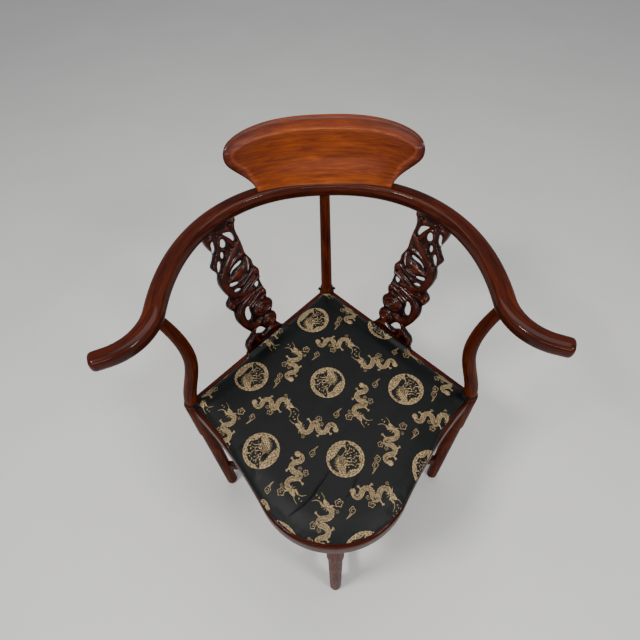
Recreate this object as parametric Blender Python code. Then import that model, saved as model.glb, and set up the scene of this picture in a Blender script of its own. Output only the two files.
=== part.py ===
"""Corner armchair in polished rosewood, with a tied-on seat pad of satin brocade.

Metres, +Z up. The front corner of the seat points to -Y, +X is on the right as seen from the front,
and the origin is on the floor under the middle of the chair.
"""
from math import cos, hypot, pi, radians, sin

import bmesh
import bpy
from mathutils import Matrix, Vector

# Driving dimensions: seat frame
SEAT_HEIGHT = 0.462
SEAT_RAIL_HEIGHT = 0.042
SEAT_RAIL_WIDTH = 0.046
SEAT_RAIL_CHAMFER = 0.004
SEAT_RAIL_EDGE_SHARE = 0.3
SIDE_REACH = 0.290
REAR_REACH = 0.298
FRONT_REACH = 0.292
SIDE_LEG_LEAN = 0.008
RAIL_PAST_AXIS = 0.010
BOW_RADIUS = 0.155
BOW_HALF_ANGLE = radians(59.5)
SIDE_HEADING = radians(42)
SERPENTINE_HANDLE = 0.090

# Driving dimensions: legs and posts
LEG_RADIUS = 0.015
FOOT_RADIUS = 0.0138
FOOT_ROUND = 0.004
BLOCK_RADIUS = 0.0175
BLOCK_BOTTOM = 0.332
BLOCK_SHOULDER = 0.003
POST_SHOULDER = 0.006
FRONT_LEG_INSET = 0.0178
ARM_POST_SEAT_RADIUS = 0.0140
ARM_POST_WAIST_RADIUS = 0.0123
ARM_POST_TOP_RADIUS = 0.0102
ARM_POST_WAIST_INSET = 0.0352
ARM_POST_WAIST_HEIGHT = 0.644
ARM_POST_FOOT_PULL = 0.004
ARM_POST_HEAD_REACH = 0.286
ARM_POST_HEAD_LEAN = 0.5
REAR_POST_SEAT_RADIUS = 0.0128
REAR_POST_TOP_RADIUS = 0.0102

# Driving dimensions: arm rail and crest
ARM_RAIL_TOP = 0.7885
ARM_RAIL_WIDTH = 0.0355
ARM_RAIL_DEPTH = 0.032
ARM_RAIL_TIP_WIDTH = 0.030
ARM_RAIL_TIP_DEPTH = 0.029
ARM_RAIL_SQUARENESS = 2.7
ARM_RAIL_END_ROUND = 0.008
ARM_BACK_REACH = 0.3005
ARM_HALF_WIDTH = 0.280
ARM_CURVE_POWER = 2.25
ARM_TURN_RADIUS = 0.090
ARM_TURN_ANGLE = radians(69)
ARM_TIP_LENGTH = 0.025
RAIL_JOINT_AT = 0.135
RAIL_LAP = 0.040
CREST_TOP = 0.9015
CREST_WIDEST_AT = 0.863
CREST_HALF_WIDTH = 0.180
CREST_NECK_HALF = 0.128
CREST_THICKNESS = 0.022
CREST_ROUNDNESS = 2.8
CREST_LEAN = 0.30
CREST_LEAN_FROM = 0.782
CREST_CURVE_REACH = 0.298
CREST_CURVE_HALF_WIDTH = 0.284
CREST_CURVE_POWER = 2.4

# Driving dimensions: splats, stretchers, seat panel
SPLAT_THICKNESS = 0.014
SPLAT_DRAWN_HEIGHT = 0.311
SPLAT_EDGE_INSET = 0.001
SPLAT_IN_RAIL = 0.007
STRETCHER_BOTTOM = 0.087
STRETCHER_HEIGHT = 0.033
STRETCHER_THICKNESS = 0.014
PANEL_THICKNESS = 0.009
PANEL_TONGUE = 0.008
PANEL_DROP = 0.006
BATTEN_WIDTH = 0.025
BATTEN_HEIGHT = 0.016
BATTEN_OFFSET = 0.075
BATTEN_TENON = 0.008

# Driving dimensions: joints
CLEARANCE = 0.0003
TENON_THICKNESS = 0.009
TENON_HEIGHT = 0.020
TENON_STOP = 0.008
TENON_ROOT = 0.018
STRETCHER_TENON_THICKNESS = 0.008
STRETCHER_TENON_HEIGHT = 0.022
POST_TENON_RADIUS = 0.0055
POST_TENON_DEPTH = 0.014
LEG_TENON_RADIUS = 0.009
LEG_TENON_HEIGHT = 0.018
MITRE_TENON_REACH = 0.012
MITRE_TENON_WIDTH = 0.010
TENON_COVER = 0.005
SPLAT_TENON_THICKNESS = 0.006
SPLAT_TENON_HALF_WIDTH = 0.022
SPLAT_TENON_DEPTH = 0.009
PIN_RADIUS = 0.003
PIN_LENGTH = 0.024
DOWEL_RADIUS = 0.004
DOWEL_DEPTH = 0.013
CREST_DOWEL_AT = 0.060

# Driving dimensions: seat pad and its ties
PAD_EDGE_INSET = 0.007
PAD_THICKNESS = 0.021
PAD_DRAW_IN = 0.0025
PAD_CLEARANCE = 0.0005
TIE_THICKNESS = 0.002
TIE_WIDTH = 0.011
TIE_LIFT = 0.007
TIE_KNOT_RADIUS = 0.006
TIE_KNOT_SEAT = 0.6

# Heights and places that follow
SEAT_RAIL_BOTTOM = SEAT_HEIGHT - SEAT_RAIL_HEIGHT
ARM_RAIL_MIDDLE = ARM_RAIL_TOP - ARM_RAIL_DEPTH / 2
ARM_RAIL_BOTTOM = ARM_RAIL_TOP - ARM_RAIL_DEPTH
POST_FOOT = SEAT_HEIGHT + POST_SHOULDER
FRONT_LEG_Y = FRONT_LEG_INSET - FRONT_REACH
RIGHT = 1
LEFT = -1
SIDE_NAMES = {RIGHT: "right", LEFT: "left"}

# Mesh fineness
RAIL_SIDES = 16
RAIL_STEP = 0.024
ROUND_SIDES = 16
PIN_SIDES = 12
CURVE_STEPS = 64
PAST = 0.005
RAIL_HEADING_STEP = 0.002
RAIL_END_ANGLES = (radians(30), radians(60), radians(90))
FOOT_ANGLES = (0.0, radians(30), radians(60), radians(90))
FRONT_EDGE_OVERRUN = 4
ARM_POST_LOWER_STEPS = 8
ARM_POST_UPPER_STEPS = 6
SPLAT_SEARCH_STEPS = 400

# Carved splat, drawn flat in millimetres: across towards the rear post, then up from the seat
SPLAT_TOP_EDGE = 360
SPLAT_BOTTOM_EDGE = -8
SPLAT_REAR_EDGE = [
    (55, SPLAT_BOTTOM_EDGE), (55, 8), (46, 18), (43, 30), (52, 46), (45, 64), (54, 80), (47, 98),
    (49, 118), (47, 150), (54, 172), (45, 196), (38, 222), (37, 250), (38, 280), (46, 300),
    (46, SPLAT_TOP_EDGE)]
SPLAT_SIDE_EDGE = [
    (-34, SPLAT_TOP_EDGE), (-34, 296), (-32, 278), (-27, 260), (-40, 238), (-37, 218), (-42, 194),
    (-40, 164), (-46, 146), (-46, 132), (-38, 118), (-43, 98), (-37, 68), (-23, 46), (-39, 30),
    (-46, 14), (-46, SPLAT_BOTTOM_EDGE)]
# Openings in the carving: centre across, centre up, half length, half width, turn in degrees
SPLAT_OPENINGS = [
    (16, 278, 11, 5.5, -30), (-18, 269, 9.5, 4.5, 100), (1, 266, 7.5, 5, 80), (-13, 243, 5, 3, 110),
    (-27, 227, 11, 3.6, 82), (8, 206, 14, 5, 48), (33, 194, 12, 2.6, 78), (-8, 171, 10, 3, 24),
    (-10, 158, 7, 2.6, 30), (36, 143, 6, 3.5, 60), (-12, 97, 12, 5.5, 82), (-4, 38, 9, 5.5, 20)]
SPLAT_OPENING_SIDES = 14
MILLIMETRE = 0.001

# Crest face: inset from the outline, and depth behind the ridge
CREST_FRONT_PROFILE = [
    (0.0, 0.0085), (0.0025, 0.0050), (0.008, 0.0015), (0.016, 0.0), (0.027, 0.0012)]
CREST_BACK_PROFILE = [(0.0015, 0.0035), (0.008, 0.0)]
CREST_DISH = 0.002
CREST_SIDE_STEPS = 9
CREST_FOOT_STEPS = 10
CREST_ROWS = 4
CREST_SUNK = 0.012
CREST_NECK_PULL = 0.45
CREST_SPINE_SHARE = 0.8

# Seat pad section: inset from the edge, and height as a share of the thickness
PAD_SECTION = [
    (0.022, 0.0), (0.005, 0.08), (0.0, 0.36), (0.003, 0.62), (0.010, 0.82), (0.028, 0.94), (0.085, 1.0)]
PAD_REAR_STEPS = 10
PAD_FRONT_STEPS = 22


def clear_scene():
    for item in list(bpy.data.objects):
        bpy.data.objects.remove(item)


def make_material(name, colour, roughness, coat):
    material = bpy.data.materials.new(name)
    material.use_nodes = True
    shader = material.node_tree.nodes["Principled BSDF"]
    shader.inputs["Base Color"].default_value = (*colour, 1)
    shader.inputs["Roughness"].default_value = roughness
    shader.inputs["Metallic"].default_value = 0
    shader.inputs["Coat Weight"].default_value = coat
    return material


clear_scene()
CHAIR = bpy.data.objects.new("corner_armchair", None)
bpy.context.collection.objects.link(CHAIR)
ROSEWOOD = make_material("rosewood", (0.075, 0.016, 0.008), 0.28, 0.4)
CREST_WOOD = make_material("figured_rosewood", (0.22, 0.055, 0.012), 0.28, 0.4)
INNER_WOOD = make_material("plain_wood", (0.12, 0.05, 0.022), 0.55, 0.0)
BROCADE = make_material("black_brocade", (0.016, 0.017, 0.018), 0.45, 0.0)
TIE_CLOTH = make_material("black_cloth", (0.012, 0.012, 0.012), 0.7, 0.0)


# Mesh helpers

def mesh_from_rings(name, rings, hollow=False):
    """Skin rings of equal count; the ends are capped, or joined to each other when hollow."""
    count = len(rings[0])
    shape = bmesh.new()
    loops = [[shape.verts.new(point) for point in ring] for ring in rings]
    pairs = list(zip(loops, loops[1:]))
    if hollow:
        pairs.append((loops[-1], loops[0]))
    for lower, upper in pairs:
        for i in range(count):
            j = (i + 1) % count
            shape.faces.new((lower[i], lower[j], upper[j], upper[i]))
    if not hollow:
        shape.faces.new(loops[0][::-1])
        shape.faces.new(loops[-1])
    bmesh.ops.recalc_face_normals(shape, faces=shape.faces)
    mesh = bpy.data.meshes.new(name)
    shape.to_mesh(mesh)
    shape.free()
    return mesh


def add_object(name, mesh):
    item = bpy.data.objects.new(name, mesh)
    item.parent = CHAIR
    bpy.context.collection.objects.link(item)
    return item


def add_node(name, mesh, material, smooth_angle=40):
    mesh.materials.append(material)
    mesh.shade_smooth()
    mesh.set_sharp_from_angle(angle=radians(smooth_angle))
    return add_object(name, mesh)


def add_tool(name, mesh):
    """A shape that only cuts or joins, and is no part of the chair by itself."""
    item = add_object("tool_" + name, mesh)
    item.hide_render = True
    item.display_type = "WIRE"
    return item


def shape_with(node, tool, operation):
    change = node.modifiers.new(tool.name, "BOOLEAN")
    change.operation = operation
    change.solver = "EXACT"
    change.object = tool


def cut(node, tool):
    shape_with(node, tool, "DIFFERENCE")


def join(node, tool):
    shape_with(node, tool, "UNION")


def circle(centre, radius, across, along, sides):
    points = []
    for i in range(sides):
        angle = 2 * pi * i / sides
        points.append(centre + across * (radius * cos(angle)) + along * (radius * sin(angle)))
    return points


def tube_mesh(name, centres, radii, sides=ROUND_SIDES):
    """Round bar through centres that lie in one upright plane across the chair."""
    rings = []
    across = Vector((0, 1, 0))
    last = len(centres) - 1
    for i, (centre, radius) in enumerate(zip(centres, radii)):
        heading = centres[min(i + 1, last)] - centres[max(i - 1, 0)]
        along = heading.normalized().cross(across)
        rings.append(circle(centre, radius, across, along, sides))
    return mesh_from_rings(name, rings)


def upright_mesh(name, x, y, profile, sides=ROUND_SIDES):
    """Turned upright shape from a profile of heights and radii."""
    rings = []
    for height, radius in profile:
        rings.append(circle(Vector((x, y, height)), radius, Vector((1, 0, 0)), Vector((0, 1, 0)), sides))
    return mesh_from_rings(name, rings)


def block_mesh(name, origin, along, across, up, spans):
    """Box in its own axes; spans are the low and high ends on each axis."""
    (a0, a1), (b0, b1), (c0, c1) = spans
    rings = []
    for c in (c0, c1):
        corners = [(a0, b0), (a1, b0), (a1, b1), (a0, b1)]
        rings.append([origin + along * a + across * b + up * c for a, b in corners])
    return mesh_from_rings(name, rings)


def grown(spans, by):
    return [(low - by, high + by) for low, high in spans]


def bezier(start, first, second, end, steps):
    points = []
    for i in range(steps + 1):
        t = i / steps
        s = 1 - t
        points.append(start * s**3 + first * (3 * s * s * t) + second * (3 * s * t * t) + end * t**3)
    return points


def resample(points, count):
    """Even points along an open polyline."""
    lengths = [0.0]
    for before, after in zip(points, points[1:]):
        lengths.append(lengths[-1] + (after - before).length)
    result = []
    k = 0
    for i in range(count):
        goal = lengths[-1] * i / (count - 1)
        while k < len(points) - 2 and lengths[k + 1] < goal:
            k += 1
        share = (goal - lengths[k]) / (lengths[k + 1] - lengths[k])
        result.append(points[k].lerp(points[k + 1], share))
    return result


# Arm rail: centreline in plan, and swept pieces

def arm_rail_plan():
    power = 2 / ARM_CURVE_POWER
    points = []
    for i in range(CURVE_STEPS + 1):
        angle = pi / 2 * i / CURVE_STEPS
        back = ARM_BACK_REACH * max(cos(angle), 0) ** power
        points.append(Vector((ARM_HALF_WIDTH * sin(angle) ** power, back)))
    for i in range(1, CURVE_STEPS // 2 + 1):
        angle = ARM_TURN_ANGLE * i / (CURVE_STEPS // 2)
        turn_x = ARM_HALF_WIDTH + ARM_TURN_RADIUS * (1 - cos(angle))
        points.append(Vector((turn_x, -ARM_TURN_RADIUS * sin(angle))))
    heading = Vector((sin(ARM_TURN_ANGLE), -cos(ARM_TURN_ANGLE)))
    points.append(points[-1] + heading * ARM_TIP_LENGTH)
    return points


RAIL_PLAN = arm_rail_plan()
RAIL_LENGTHS = [0.0]
for before, after in zip(RAIL_PLAN, RAIL_PLAN[1:]):
    RAIL_LENGTHS.append(RAIL_LENGTHS[-1] + (after - before).length)
RAIL_HALF_LENGTH = RAIL_LENGTHS[-1]
POST_ON_RAIL = RAIL_LENGTHS[CURVE_STEPS]


def rail_point(distance):
    """Plan point at a distance along the rail from the middle of the back; + is to the right."""
    goal = min(abs(distance), RAIL_HALF_LENGTH)
    k = 0
    while k < len(RAIL_PLAN) - 2 and RAIL_LENGTHS[k + 1] < goal:
        k += 1
    share = (goal - RAIL_LENGTHS[k]) / (RAIL_LENGTHS[k + 1] - RAIL_LENGTHS[k])
    point = RAIL_PLAN[k].lerp(RAIL_PLAN[k + 1], share)
    return Vector((point.x if distance >= 0 else -point.x, point.y, ARM_RAIL_MIDDLE))


def rail_axes(distance):
    """Point on the rail with its heading and its outward direction."""
    ahead = rail_point(min(distance + RAIL_HEADING_STEP, RAIL_HALF_LENGTH))
    behind = rail_point(max(distance - RAIL_HEADING_STEP, -RAIL_HALF_LENGTH))
    heading = (ahead - behind).normalized()
    outward = Vector((-heading.y, heading.x, 0))
    return rail_point(distance), heading, outward


def rail_section(distance, extra):
    """Section of the rail, which thins past the arm post, grown by extra all round."""
    past_post = max(abs(distance) - POST_ON_RAIL, 0) / (RAIL_HALF_LENGTH - POST_ON_RAIL)
    half_width = (ARM_RAIL_WIDTH + (ARM_RAIL_TIP_WIDTH - ARM_RAIL_WIDTH) * past_post) / 2
    half_depth = (ARM_RAIL_DEPTH + (ARM_RAIL_TIP_DEPTH - ARM_RAIL_DEPTH) * past_post) / 2
    return rounded_square(half_width + extra, half_depth + extra, RAIL_SIDES)


def rounded_square(half_width, half_height, sides):
    points = []
    power = 2 / ARM_RAIL_SQUARENESS
    for i in range(sides):
        angle = 2 * pi * (i + 0.5) / sides
        wide = half_width * abs(cos(angle)) ** power
        high = half_height * abs(sin(angle)) ** power
        points.append((wide if cos(angle) > 0 else -wide, high if sin(angle) > 0 else -high))
    return points


def rail_ring(distance, section):
    centre, heading, outward = rail_axes(distance)
    return [centre + outward * a + Vector((0, 0, b)) for a, b in section]


def rail_stations(start, end):
    count = max(2, round((end - start) / RAIL_STEP))
    return [start + (end - start) * i / count for i in range(count + 1)]


def rail_mesh(name, start, end, extra=0.0, rounded_end=False):
    rings = []
    body_end = end - ARM_RAIL_END_ROUND if rounded_end else end
    for distance in rail_stations(start, body_end):
        rings.append(rail_ring(distance, rail_section(distance, extra)))
    if rounded_end:
        for angle in RAIL_END_ANGLES:
            distance = body_end + ARM_RAIL_END_ROUND * sin(angle)
            inset = ARM_RAIL_END_ROUND * (1 - cos(angle))
            rings.append(rail_ring(distance, rail_section(distance, -inset)))
    return mesh_from_rings(name, rings)


def rail_strip(name, start, end, low, high):
    """Wide strip that follows the rail between two heights measured from its middle."""
    wide = ARM_RAIL_WIDTH / 2 + PAST
    section = [(-wide, low), (wide, low), (wide, high), (-wide, high)]
    return mesh_from_rings(name, [rail_ring(d, section) for d in rail_stations(start, end)])


def mirrored(mesh):
    """Turn a right-hand mesh into its left-hand twin."""
    mesh.transform(Matrix.Diagonal((-1, 1, 1, 1)))
    mesh.flip_normals()
    return mesh


def for_side(mesh, side):
    return mesh if side == RIGHT else mirrored(mesh)


def make_arm_rails():
    lap_start = RAIL_JOINT_AT - RAIL_LAP
    half_height = ARM_RAIL_DEPTH / 2 + PAST
    back = rail_mesh("arm_rail_back", -RAIL_JOINT_AT, RAIL_JOINT_AT)
    rails = {0: add_node("arm_rail_back", back, ROSEWOOD)}
    for side in (RIGHT, LEFT):
        name = SIDE_NAMES[side]
        arm = rail_mesh("arm_rail_" + name, lap_start + CLEARANCE, RAIL_HALF_LENGTH, rounded_end=True)
        rails[side] = add_node("arm_rail_" + name, for_side(arm, side), ROSEWOOD)
        over = rail_strip("over", lap_start - PAST, RAIL_JOINT_AT + CLEARANCE, -CLEARANCE / 2, half_height)
        cut(rails[side], add_tool("lap_over_" + name, for_side(over, side)))
        under = rail_strip("under", lap_start, RAIL_JOINT_AT + PAST, -half_height, CLEARANCE / 2)
        cut(rails[0], add_tool("lap_under_" + name, for_side(under, side)))
        spot = rail_point(side * (RAIL_JOINT_AT - RAIL_LAP / 2))
        low = ARM_RAIL_MIDDLE - PIN_LENGTH / 2
        high = ARM_RAIL_MIDDLE + PIN_LENGTH / 2
        pin = upright_mesh("pin", spot.x, spot.y, [(low, PIN_RADIUS), (high, PIN_RADIUS)], PIN_SIDES)
        add_node("scarf_pin_" + name, pin, INNER_WOOD)
        bore = PIN_RADIUS + CLEARANCE
        profile = [(low - CLEARANCE, bore), (high + CLEARANCE, bore)]
        hole = add_tool("pin_hole_" + name, upright_mesh("hole", spot.x, spot.y, profile, PIN_SIDES))
        cut(rails[0], hole)
        cut(rails[side], hole)
    return rails


# Crest panel on the back of the arm rail

def crest_curve_y(x):
    share = 1 - (abs(x) / CREST_CURVE_HALF_WIDTH) ** CREST_CURVE_POWER
    return CREST_CURVE_REACH * share ** (1 / CREST_CURVE_POWER)


def crest_chains():
    """Upper and lower edge of the panel, across and up, both from the right-hand end to the left."""
    rise = CREST_TOP - CREST_WIDEST_AT
    steps = CREST_SIDE_STEPS * 2 + CREST_FOOT_STEPS
    upper = []
    for i in range(steps + 1):
        angle = pi * i / steps
        share = cos(angle)
        across = abs(share) ** (2 / CREST_ROUNDNESS) * (1 if share > 0 else -1)
        height = CREST_WIDEST_AT + rise * max(sin(angle), 0) ** (2 / CREST_ROUNDNESS)
        upper.append(Vector((CREST_HALF_WIDTH * across, height)))
    pull = Vector((0, (CREST_WIDEST_AT - ARM_RAIL_TOP) * CREST_NECK_PULL))
    neck = Vector((CREST_NECK_HALF, ARM_RAIL_TOP - PAST))
    right = bezier(upper[0], upper[0] - pull, neck + pull, neck, CREST_SIDE_STEPS)
    sunk = ARM_RAIL_TOP - CREST_SUNK
    foot = []
    for i in range(1, CREST_FOOT_STEPS):
        foot.append(Vector((CREST_NECK_HALF * (1 - 2 * i / CREST_FOOT_STEPS), sunk)))
    left = [Vector((-point.x, point.y)) for point in reversed(right)]
    return upper, right + foot + left


def crest_inset(point, inset):
    """Outline point drawn in towards the middle line of the panel."""
    spine_half = CREST_NECK_HALF * CREST_SPINE_SHARE
    spine_height = (CREST_WIDEST_AT + ARM_RAIL_TOP) / 2
    target = Vector((max(-spine_half, min(spine_half, point.x)), spine_height))
    return point + (target - point).normalized() * inset


def crest_place(point, depth):
    """Put a drawn point on the leaning face that follows the curve of the arm rail."""
    base = crest_curve_y(point.x) - CREST_THICKNESS / 2
    return Vector((point.x, base + CREST_LEAN * (point.y - CREST_LEAN_FROM) + depth, point.y))


def crest_fill(shape, upper, lower, ring_of, dish):
    """Fill the space inside the innermost ring with rows between its upper and lower edge."""
    columns = []
    for i, (high, low) in enumerate(zip(upper, lower)):
        top = ring_of["upper"][i]
        bottom = ring_of["lower"][i]
        column = [top]
        if 0 < i < len(upper) - 1:
            for k in range(1, CREST_ROWS):
                share = k / CREST_ROWS
                depth = ring_of["depth"] + dish * sin(pi * share)
                column.append(shape.verts.new(crest_place(high.lerp(low, share), depth)))
            column.append(bottom)
        columns.append(column)
    for before, after in zip(columns, columns[1:]):
        for k in range(CREST_ROWS):
            corners = [before[min(k, len(before) - 1)], before[min(k + 1, len(before) - 1)],
                       after[min(k + 1, len(after) - 1)], after[min(k, len(after) - 1)]]
            unique = [corner for n, corner in enumerate(corners) if corner not in corners[:n]]
            shape.faces.new(unique)


def crest_mesh():
    upper, lower = crest_chains()
    shape = bmesh.new()
    profile = [(inset, depth) for inset, depth in reversed(CREST_FRONT_PROFILE)]
    profile += [(inset, CREST_THICKNESS - lift) for inset, lift in CREST_BACK_PROFILE]
    rings = []
    for inset, depth in profile:
        high = [crest_inset(point, inset) for point in upper]
        low = [crest_inset(point, inset) for point in lower]
        top = [shape.verts.new(crest_place(point, depth)) for point in high]
        bottom = [shape.verts.new(crest_place(point, depth)) for point in low[1:-1]]
        bottom = [top[0]] + bottom + [top[-1]]
        rings.append({"upper": top, "lower": bottom, "depth": depth, "plan": (high, low)})
    for before, after in zip(rings, rings[1:]):
        for edge in ("upper", "lower"):
            for i in range(len(upper) - 1):
                shape.faces.new((before[edge][i], before[edge][i + 1], after[edge][i + 1], after[edge][i]))
    crest_fill(shape, *rings[0]["plan"], rings[0], CREST_DISH)
    crest_fill(shape, *rings[-1]["plan"], rings[-1], 0)
    bmesh.ops.recalc_face_normals(shape, faces=shape.faces)
    mesh = bpy.data.meshes.new("crest_panel")
    shape.to_mesh(mesh)
    shape.free()
    return mesh


def make_crest(rails, rail_space):
    crest = add_node("crest_panel", crest_mesh(), CREST_WOOD)
    cut(crest, rail_space)
    for side in (RIGHT, LEFT):
        name = SIDE_NAMES[side]
        spot = rail_point(side * CREST_DOWEL_AT)
        low = ARM_RAIL_TOP - DOWEL_DEPTH
        high = ARM_RAIL_TOP + DOWEL_DEPTH
        lean = CREST_LEAN * DOWEL_DEPTH / 2
        profile = [(low, DOWEL_RADIUS), (high, DOWEL_RADIUS)]
        dowel = upright_mesh("dowel", spot.x, spot.y + lean, profile, PIN_SIDES)
        add_node("crest_dowel_" + name, dowel, INNER_WOOD)
        bore = DOWEL_RADIUS + CLEARANCE
        profile = [(low - CLEARANCE, bore), (high + CLEARANCE, bore)]
        hole = add_tool("dowel_hole_" + name, upright_mesh("hole", spot.x, spot.y + lean, profile, PIN_SIDES))
        cut(crest, hole)
        cut(rails[0], hole)


# Legs that run on as posts

def leg_profile():
    """Heights and radii from the rounded foot to the top of the block between the seat rails."""
    profile = []
    for turn in FOOT_ANGLES:
        profile.append((FOOT_ROUND * (1 - cos(turn)), FOOT_RADIUS - FOOT_ROUND * (1 - sin(turn))))
    profile.append((BLOCK_BOTTOM - BLOCK_SHOULDER, LEG_RADIUS))
    profile.append((BLOCK_BOTTOM, BLOCK_RADIUS))
    profile.append((SEAT_HEIGHT, BLOCK_RADIUS))
    return profile


def arm_post_path():
    """Bowed line of the right-hand arm post, from seat to rail, with its radii."""
    foot = Vector((SIDE_REACH, 0, POST_FOOT))
    waist = Vector((SIDE_REACH - ARM_POST_WAIST_INSET, 0, ARM_POST_WAIST_HEIGHT))
    head = Vector((ARM_POST_HEAD_REACH, 0, ARM_RAIL_MIDDLE - ARM_RAIL_DEPTH / 4))
    rise = (ARM_POST_WAIST_HEIGHT - POST_FOOT) / 3
    leaving = foot + Vector((-ARM_POST_FOOT_PULL, 0, rise))
    lower = bezier(foot, leaving, waist - Vector((0, 0, rise)), waist, ARM_POST_LOWER_STEPS)
    reach = (head.z - waist.z) / 3
    lean = Vector((-ARM_POST_HEAD_LEAN, 0, -1)) * reach
    upper = bezier(waist, waist + Vector((0, 0, reach)), head + lean, head, ARM_POST_UPPER_STEPS)
    radii = []
    for i in range(ARM_POST_LOWER_STEPS):
        share = i / ARM_POST_LOWER_STEPS
        radii.append(ARM_POST_SEAT_RADIUS + (ARM_POST_WAIST_RADIUS - ARM_POST_SEAT_RADIUS) * share)
    for i in range(ARM_POST_UPPER_STEPS + 1):
        share = i / ARM_POST_UPPER_STEPS
        radii.append(ARM_POST_WAIST_RADIUS + (ARM_POST_TOP_RADIUS - ARM_POST_WAIST_RADIUS) * share)
    return lower + upper[1:], radii


def side_leg_x(height):
    """Side legs lean in a little towards the floor, with the foot itself standing upright."""
    share = max(height - FOOT_ROUND, 0) / (SEAT_HEIGHT - FOOT_ROUND)
    return SIDE_REACH - SIDE_LEG_LEAN * (1 - share)


def rear_post_profile():
    return [(POST_FOOT, REAR_POST_SEAT_RADIUS), (ARM_RAIL_MIDDLE, REAR_POST_TOP_RADIUS)]


def side_leg_mesh(name, side, extra=0.0):
    centres = [Vector((side_leg_x(height), 0, height)) for height, radius in leg_profile()]
    radii = [radius for height, radius in leg_profile()]
    path, post_radii = arm_post_path()
    radii = [radius + extra for radius in radii + post_radii]
    return for_side(tube_mesh(name, centres + path, radii), side)


def rear_leg_mesh(name, extra=0.0):
    profile = leg_profile() + rear_post_profile()
    return upright_mesh(name, 0, REAR_REACH, [(height, radius + extra) for height, radius in profile])


def make_front_leg():
    shoulder = SEAT_RAIL_BOTTOM - CLEARANCE
    profile = leg_profile()[:-1]
    profile += [(shoulder, BLOCK_RADIUS), (shoulder, LEG_TENON_RADIUS)]
    profile.append((shoulder + LEG_TENON_HEIGHT, LEG_TENON_RADIUS))
    return add_node("front_leg", upright_mesh("front_leg", 0, FRONT_LEG_Y, profile), ROSEWOOD)


def post_tenon(name, foot, head, extra):
    """Round tenon on a post, running on along the post into the rail above."""
    heading = (head - foot).normalized()
    across = Vector((0, 1, 0))
    along = heading.cross(across)
    start = foot - heading * extra
    end = foot + heading * ((head.z + extra - foot.z) / heading.z)
    radius = POST_TENON_RADIUS + extra
    return mesh_from_rings(name, [circle(start, radius, across, along, PIN_SIDES),
                                  circle(end, radius, across, along, PIN_SIDES)])


def make_legs(rails, rail_space):
    legs = {"front": make_front_leg()}
    path, radii = arm_post_path()
    root = path[-2]
    reach = path[-1] - path[-2]
    side_head = root + reach * ((ARM_RAIL_BOTTOM + POST_TENON_DEPTH - root.z) / reach.z)
    rear_root = Vector((0, REAR_REACH, ARM_RAIL_BOTTOM - POST_TENON_DEPTH))
    rear_head = Vector((0, REAR_REACH, ARM_RAIL_BOTTOM + POST_TENON_DEPTH))
    legs["rear"] = add_node("rear_leg_post", rear_leg_mesh("rear_leg_post"), ROSEWOOD)
    cut(legs["rear"], rail_space)
    join(legs["rear"], add_tool("rear_tenon", post_tenon("tenon", rear_root, rear_head, 0)))
    cut(rails[0], add_tool("rear_socket", post_tenon("socket", rear_root, rear_head, CLEARANCE)))
    for side in (RIGHT, LEFT):
        name = SIDE_NAMES[side]
        leg = add_node(name + "_leg_post", side_leg_mesh(name + "_leg_post", side), ROSEWOOD)
        cut(leg, rail_space)
        join(leg, add_tool(name + "_tenon", for_side(post_tenon("tenon", root, side_head, 0), side)))
        socket = for_side(post_tenon("socket", root, side_head, CLEARANCE), side)
        cut(rails[side], add_tool(name + "_socket", socket))
        legs[name] = leg
    return legs


# Seat frame outline: square behind, serpentine in front

def rear_edge(offset):
    """Right-hand rear edge in plan, from the rear corner to the side corner, drawn in by offset."""
    slope = hypot(SIDE_REACH, REAR_REACH)
    shift = (RAIL_PAST_AXIS - offset) * slope
    rear_y = REAR_REACH + shift / SIDE_REACH
    side_x = SIDE_REACH + shift / REAR_REACH
    return Vector((0, rear_y)), Vector((side_x, 0))


def front_edge(offset):
    """Right-hand front edge in plan, from the front corner to the side corner, drawn in by offset."""
    centre = Vector((0, BOW_RADIUS - FRONT_REACH))
    points = []
    for i in range(-FRONT_EDGE_OVERRUN, CURVE_STEPS + 1):
        angle = BOW_HALF_ANGLE * i / CURVE_STEPS
        points.append(centre + Vector((BOW_RADIUS * sin(angle), -BOW_RADIUS * cos(angle))))
    start = points[-1]
    corner = rear_edge(0)[1]
    leaving = Vector((cos(BOW_HALF_ANGLE), sin(BOW_HALF_ANGLE))) * SERPENTINE_HANDLE
    heading = Vector((cos(SIDE_HEADING), sin(SIDE_HEADING)))
    points += bezier(start, start + leaving, corner - heading * SERPENTINE_HANDLE, corner, CURVE_STEPS)[1:]
    points.append(corner + heading * SEAT_RAIL_WIDTH)
    moved = []
    for i, point in enumerate(points):
        along = (points[min(i + 1, len(points) - 1)] - points[max(i - 1, 0)]).normalized()
        moved.append(point + Vector((-along.y, along.x)) * offset)
    return moved


def between(points, low_x, high_y):
    """Part of the front edge with x above low_x and y below high_y, cut exactly at both ends."""
    kept = []
    for before, after in zip(points, points[1:]):
        if before.x < low_x <= after.x:
            kept.append(before.lerp(after, (low_x - before.x) / (after.x - before.x)))
        if after.x > low_x and after.y < high_y:
            kept.append(after.copy())
        if before.y < high_y <= after.y and before.x > low_x:
            kept.append(before.lerp(after, (high_y - before.y) / (after.y - before.y)))
            break
    return kept


def rear_rail_plan(offset):
    half_gap = CLEARANCE / 2
    ring = []
    for inset in (offset, SEAT_RAIL_WIDTH):
        rear, side = rear_edge(inset)
        run = side - rear
        near_rear = rear + run * (half_gap / run.x)
        near_side = side + run * (half_gap / run.y)
        ring += [near_rear, near_side] if inset == offset else [near_side, near_rear]
    return ring


def front_rail_plan(offset):
    half_gap = CLEARANCE / 2
    outer = resample(between(front_edge(offset), half_gap, -half_gap), PAD_FRONT_STEPS)
    inner = resample(between(front_edge(SEAT_RAIL_WIDTH), half_gap, -half_gap), PAD_FRONT_STEPS)
    return outer + inner[::-1]


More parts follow.
